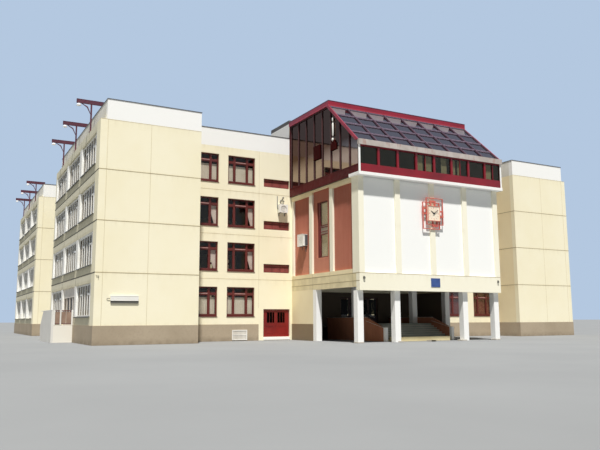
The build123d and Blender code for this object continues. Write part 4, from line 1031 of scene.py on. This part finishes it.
def attic_trim():
    """White corner posts, dark boards at the foot of the sides, the flashing and the gutter's lips."""
    shapes = posts, boards, lips = forms(3)
    side_y = (ATTIC_Y + 0.04, RECESS)
    for _ in placed(shapes):
        posts.box((-ATTIC_X - 0.012, -ATTIC_X + 0.05), (ATTIC_Y - 0.012, ATTIC_Y + 0.03),
                  (ATTIC_FLOOR, GUTTER_FOOT))
        for out, y, z in ((0.008, side_y, (ATTIC_FLOOR, ATTIC_SILL)), (0.014, side_y, (5.5, 5.59)),
                          (0.014, side_y, (ATTIC_SILL - 0.03, ATTIC_SILL)),
                          (0.016, (RECESS - 0.07, RECESS), (ATTIC_FLOOR, 8.33))):
            boards.box((-ATTIC_X - out, -ATTIC_X), y, z)
        lips.box((-GUTTER_X, -GUTTER_X + 0.02), GUTTER_Y, (EAVE, EAVE + 0.012))
    lips.box((-GUTTER_X, GUTTER_X), (GUTTER_Y[0], GUTTER_Y[0] + 0.008), (EAVE, EAVE + 0.012))
    lips.box((-GUTTER_X, GUTTER_X), (GUTTER_Y[0], GUTTER_Y[0] + 0.02), (GUTTER_FOOT - 0.012, GUTTER_FOOT))
    for index in range(9):
        lips.box(bar_at((-3.1, 3.1), index / 8, 0.018), (GUTTER_Y[0] + 0.005, GUTTER_Y[1]),
                 (EAVE, EAVE + 0.006))
    posts.piece("attic_corner_posts", "white_render", "white_wall", 0.003)
    boards.piece("attic_side_boards", "side_board", "red_metal", 0.002)
    lips.piece("gutter_lips", "gutter_grey", "grey_metal", 0.001)


def attic_vents():
    """The dark opened panes and the white vent pipe on the left side, and sashes in the front band."""
    dark, pipe = forms(2, ATTIC_SIDE)
    sashes, blinds = forms(2, ATTIC_BAND)
    for y, z, out in VENTS:
        dark.slab(y, z, (-out, 0.04))
    dark.piece("attic_side_vent", "vent_dark", "red_metal", 0.003)
    for y, profile in PIPE_PARTS:
        pipe.lathe((-ATTIC_X, y), profile, 12)
    pipe.piece("attic_vent_pipe", "white_plastic", "white_plastic", smooth=True)
    lights = [inset((-ATTIC_X + bay * ATTIC_PITCH, -ATTIC_X + (bay + 1) * ATTIC_PITCH), 0.036)
              for bay in range(8)]
    for bay, light in enumerate(lights):
        sashes.ring(light, (ATTIC_SILL, ATTIC_HEAD), 0.014, BAND_D)
        if bay in (3, 5, 7):
            sashes.slab(bar_at(light, 0.5, 0.022), (ATTIC_SILL, ATTIC_HEAD), BAND_D)
    width = 0
    for bay, spans in HANGINGS:
        for span in spans:
            edges = [at_share(lights[bay], share) for share in span]
            width += blinds.drop(edges, edges, HANGING_Z, 0.085, (edges[1] - edges[0]) / 0.05, 0.006)
    sashes.piece("band_sashes", "band_red", "red_metal")
    blinds.piece("attic_blinds", "net_curtain", "white_plastic", smooth=True)


# Lamps over the side walls, porch, roofs and portico

LAMP_PROFILE = ((0.012, 8.2), (0.02, 8.195), (0.03, 8.186), (0.052, 8.172), (0.068, 8.152), (0.077, 8.128),
                (0.08, 8.106), (0.074, 8.105), (0.066, 8.11))
FELT_W = 0.5
FELT_LAP = 0.03
PARAPET_W = 0.2
STAIR_X = (-1.54, -1.44)
COLUMN_W = 0.241


def lamps():
    """Domes of the lamps, and a cap on the arm and a foot plate of each of their brackets."""
    shapes = domes, edges = forms(2)
    for _ in placed(shapes, BARS):
        for left in SIDE_LEFTS:
            y = left + SIDE_W / 2
            domes.lathe((-11.195, y), LAMP_PROFILE, 20)
            edges.box((-11.275, -10.32), (y - 0.033, y + 0.033), (8.326, 8.34))
            edges.box((-10.83, -HALF_FRONT), around(y, 0.07), (ROOF, ROOF + 0.015))
    domes.piece("lamp_domes", "lamp_white", "white_plastic", smooth=True)
    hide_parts("roof_lamps")
    edges.piece("bracket_caps", "bracket_red", "crimson_metal")


def porch_parts():
    """White posts, brown infill boards with rails, and a cap on the side wall of the porch."""
    posts, boards, rails = forms(3)
    y = SIDE_LEFTS[1]
    for x in (-11.428, -11.22, -10.835):
        posts.box(around(x, 0.045), (y - 0.006, y + 0.042), (FLOORS[0], 1.13))
    posts.box((-11.525, -11.445), (y - 0.006, 6.33), (1.118, 1.135))
    for x in ((-11.4, -11.245), (-11.195, -11.05), (-11.03, -10.86)):
        boards.box(x, (y + 0.022, y + 0.03), (0.66, 1.07))
    for z in (0.64, 1.09):
        rails.box((-11.4, -10.85), (y + 0.01, y + 0.034), (z, z + 0.022))
    posts.piece("porch_posts", "white_plastic", "white_plastic", 0.003)
    boards.piece("porch_boards", "porch_brown", "crimson_metal")
    rails.piece("porch_rails", "bracket_red", "crimson_metal")


def roof_strips():
    """Felt laid in lapped strips on the flat roofs inside the parapets."""
    felt = Form()

    def cover(x, y):
        count = max(1, round((y[1] - y[0]) / FELT_W))
        for index in range(count):
            near = at_share(y, index / count)
            far = min(y[1], at_share(y, (index + 1) / count) + FELT_LAP)
            felt.on((SIDE, x[0], 1)).patch((near, near, far, far), (ROOF, ROOF + 0.008, ROOF + 0.003, ROOF),
                                           (0, x[1] - x[0]))

    body_y = inset((RECESS, BODY_BACK), PARAPET_W)
    for _ in placed([felt], BARS):
        cover(inset((-HALF_FRONT, -WING_IN), PARAPET_W), inset((0, WING_D), PARAPET_W))
        cover((-WING_IN, -HALF_HALL), body_y)
    cover(inset((-HALF_HALL, HALF_HALL), PARAPET_W), (3.4, COURT_FACE + PARAPET_W))
    felt.back = REAR_BAR
    cover((-HALF_HALL, HALF_HALL), body_y)
    felt.piece("roof_felt", "roof_felt", "dark_metal")


def portico_parts():
    """Nosings and kerb of the steps, rims, panes and handles of the main doors, caps on the stair posts."""
    nosings, kerb, caps = forms(3)
    doors, panes = forms(2, DOOR_WALL)
    for index in range(7):
        y = STEP_Y + index * 0.15
        z = 0.075 * (index + 1)
        nosings.box((-1.45, 1.45), (y - 0.008, y + 0.03), (z - 0.012, z + 0.002))
    nosings.piece("step_edges", "grey_metal", "step_stone", 0.002)
    kerb.box((-1.28, 1.24), (-2.47, STEP_Y), (0.0, 0.152))
    kerb.piece("bottom_step", "bottom_step", "step_stone", 0.006)
    for left in (-0.9, -0.45, 0.0, 0.45):
        doors.ring((left + 0.02, left + 0.43), (0.63, 1.62), 0.03, (-0.008, 0.002))
        panes.slab((left + 0.06, left + 0.39), (0.95, 1.57), (-0.004, 0.002))
        doors.ring((left + 0.07, left + 0.38), (0.68, 0.9), 0.012, (-0.006, 0.002))
    for x in (-0.49, -0.41, 0.41, 0.49):
        doors.tube([(x, 1.555, 1.0), (x, 1.53, 1.02), (x, 1.53, 1.16), (x, 1.555, 1.18)], 0.007)
    doors.piece("entrance_door_rims", "dark_door", "red_metal", 0.002)
    panes.piece("entrance_door_panes", "dark_glass", "window_glass")
    for _ in placed([caps]):
        caps.box((-1.535, -1.405), (-2.37, -2.24), (0.475, 0.487))
        caps.solid([[(STAIR_X[0], y, foot), (STAIR_X[1], y, foot), (STAIR_X[1], y, foot + 0.012),
                     (STAIR_X[0], y, foot + 0.012)] for y, foot in ((-2.24, 0.466), (-1.2, 0.6965))])
        caps.box(STAIR_X, (-1.2, RECESS), (0.825, 0.838))
        for x in (-3.1, -1.5, -0.1):
            caps.box((x - 0.008, x - 0.008 + COLUMN_W), (-3.058, -2.817), (0.0, 0.04))
    caps.piece("stair_caps", "grey_metal", "grey_metal", 0.002)


for build in (panel_joints, side_joints, hall_joints, recess_windows, side_windows, hidden_windows,
              flank_ribs, tall_windows, flank_unit, recess_unit, plates, plinth_grille, clock_marks,
              door_parts, slope_sheets, attic_trim, attic_vents, lamps, porch_parts, roof_strips,
              portico_parts):
    build()


# Camera, floor, light and background

CAMERA_AT = (-14.902, -20.906, 0.7635)
YAW = math.radians(28.513)
PITCH = math.radians(8.209)
ROLL = math.radians(-0.260)
LENS = 39.31
FLOOR_REACH = 300
SUN_STRENGTH = 4.9
SUN_LEAN = math.radians(64)
SUN_SWING = math.radians(-23)
SKY_STRENGTH = 0.22


def turned(about_x, about_z):
    return Matrix.Rotation(about_z, 4, "Z") @ Matrix.Rotation(about_x, 4, "X")


def make_camera():
    camera = shown("camera", bpy.data.cameras.new("camera"))
    camera.data.lens = LENS
    camera.data.sensor_width = 36
    camera.data.clip_end = 2000
    looking = turned(math.radians(90) + PITCH, -YAW) @ Matrix.Rotation(ROLL, 4, "Z")
    camera.matrix_world = Matrix.Translation(CAMERA_AT) @ looking
    bpy.context.scene.camera = camera


def make_floor():
    form = Form()
    form.skin([[(x, y, -0.003) for x in (-FLOOR_REACH, FLOOR_REACH)] for y in (-FLOOR_REACH, FLOOR_REACH)])
    mat = Finish("floor", (150, 152, 153), 0.9, 0.1)
    mat.spread((144, 146, 147), 0.3, 0.3, 0.7)
    mat.put("Base Color", mat.base)
    form.show("floor", "floor")


def make_light():
    """A sun, a faint glow of the background that lights the scene, and a pale blue where it is seen."""
    sun = shown("sun", bpy.data.lights.new("sun", "SUN"))
    sun.data.energy = SUN_STRENGTH
    sun.data.angle = math.radians(2.5)
    sun.data.color = (1, 0.975, 0.94)
    sun.matrix_world = turned(math.radians(90) - SUN_LEAN, SUN_SWING)
    world = bpy.data.worlds.new("studio")
    world.use_nodes = True
    tree = world.node_tree
    rays = add_node(tree, "ShaderNodeLightPath").outputs
    seen = rays["Is Camera Ray"]
    for ray in ("Is Glossy Ray", "Is Transmission Ray"):
        seen = add_node(tree, "ShaderNodeMath", {0: seen, 1: rays[ray]}, operation="MAXIMUM").outputs[0]
    glow = add_node(tree, "ShaderNodeBackground", {0: (0.93, 0.97, 1.0, 1), 1: SKY_STRENGTH}).outputs[0]
    pale = add_node(tree, "ShaderNodeBackground", {0: tone((180, 200, 224))}).outputs[0]
    both = add_node(tree, "ShaderNodeMixShader", {0: seen, 1: glow, 2: pale}).outputs[0]
    tree.links.new(both, tree.nodes["World Output"].inputs[0])
    bpy.context.scene.world = world


make_camera()
make_floor()
make_light()
bpy.context.scene.view_settings.view_transform = "Standard"
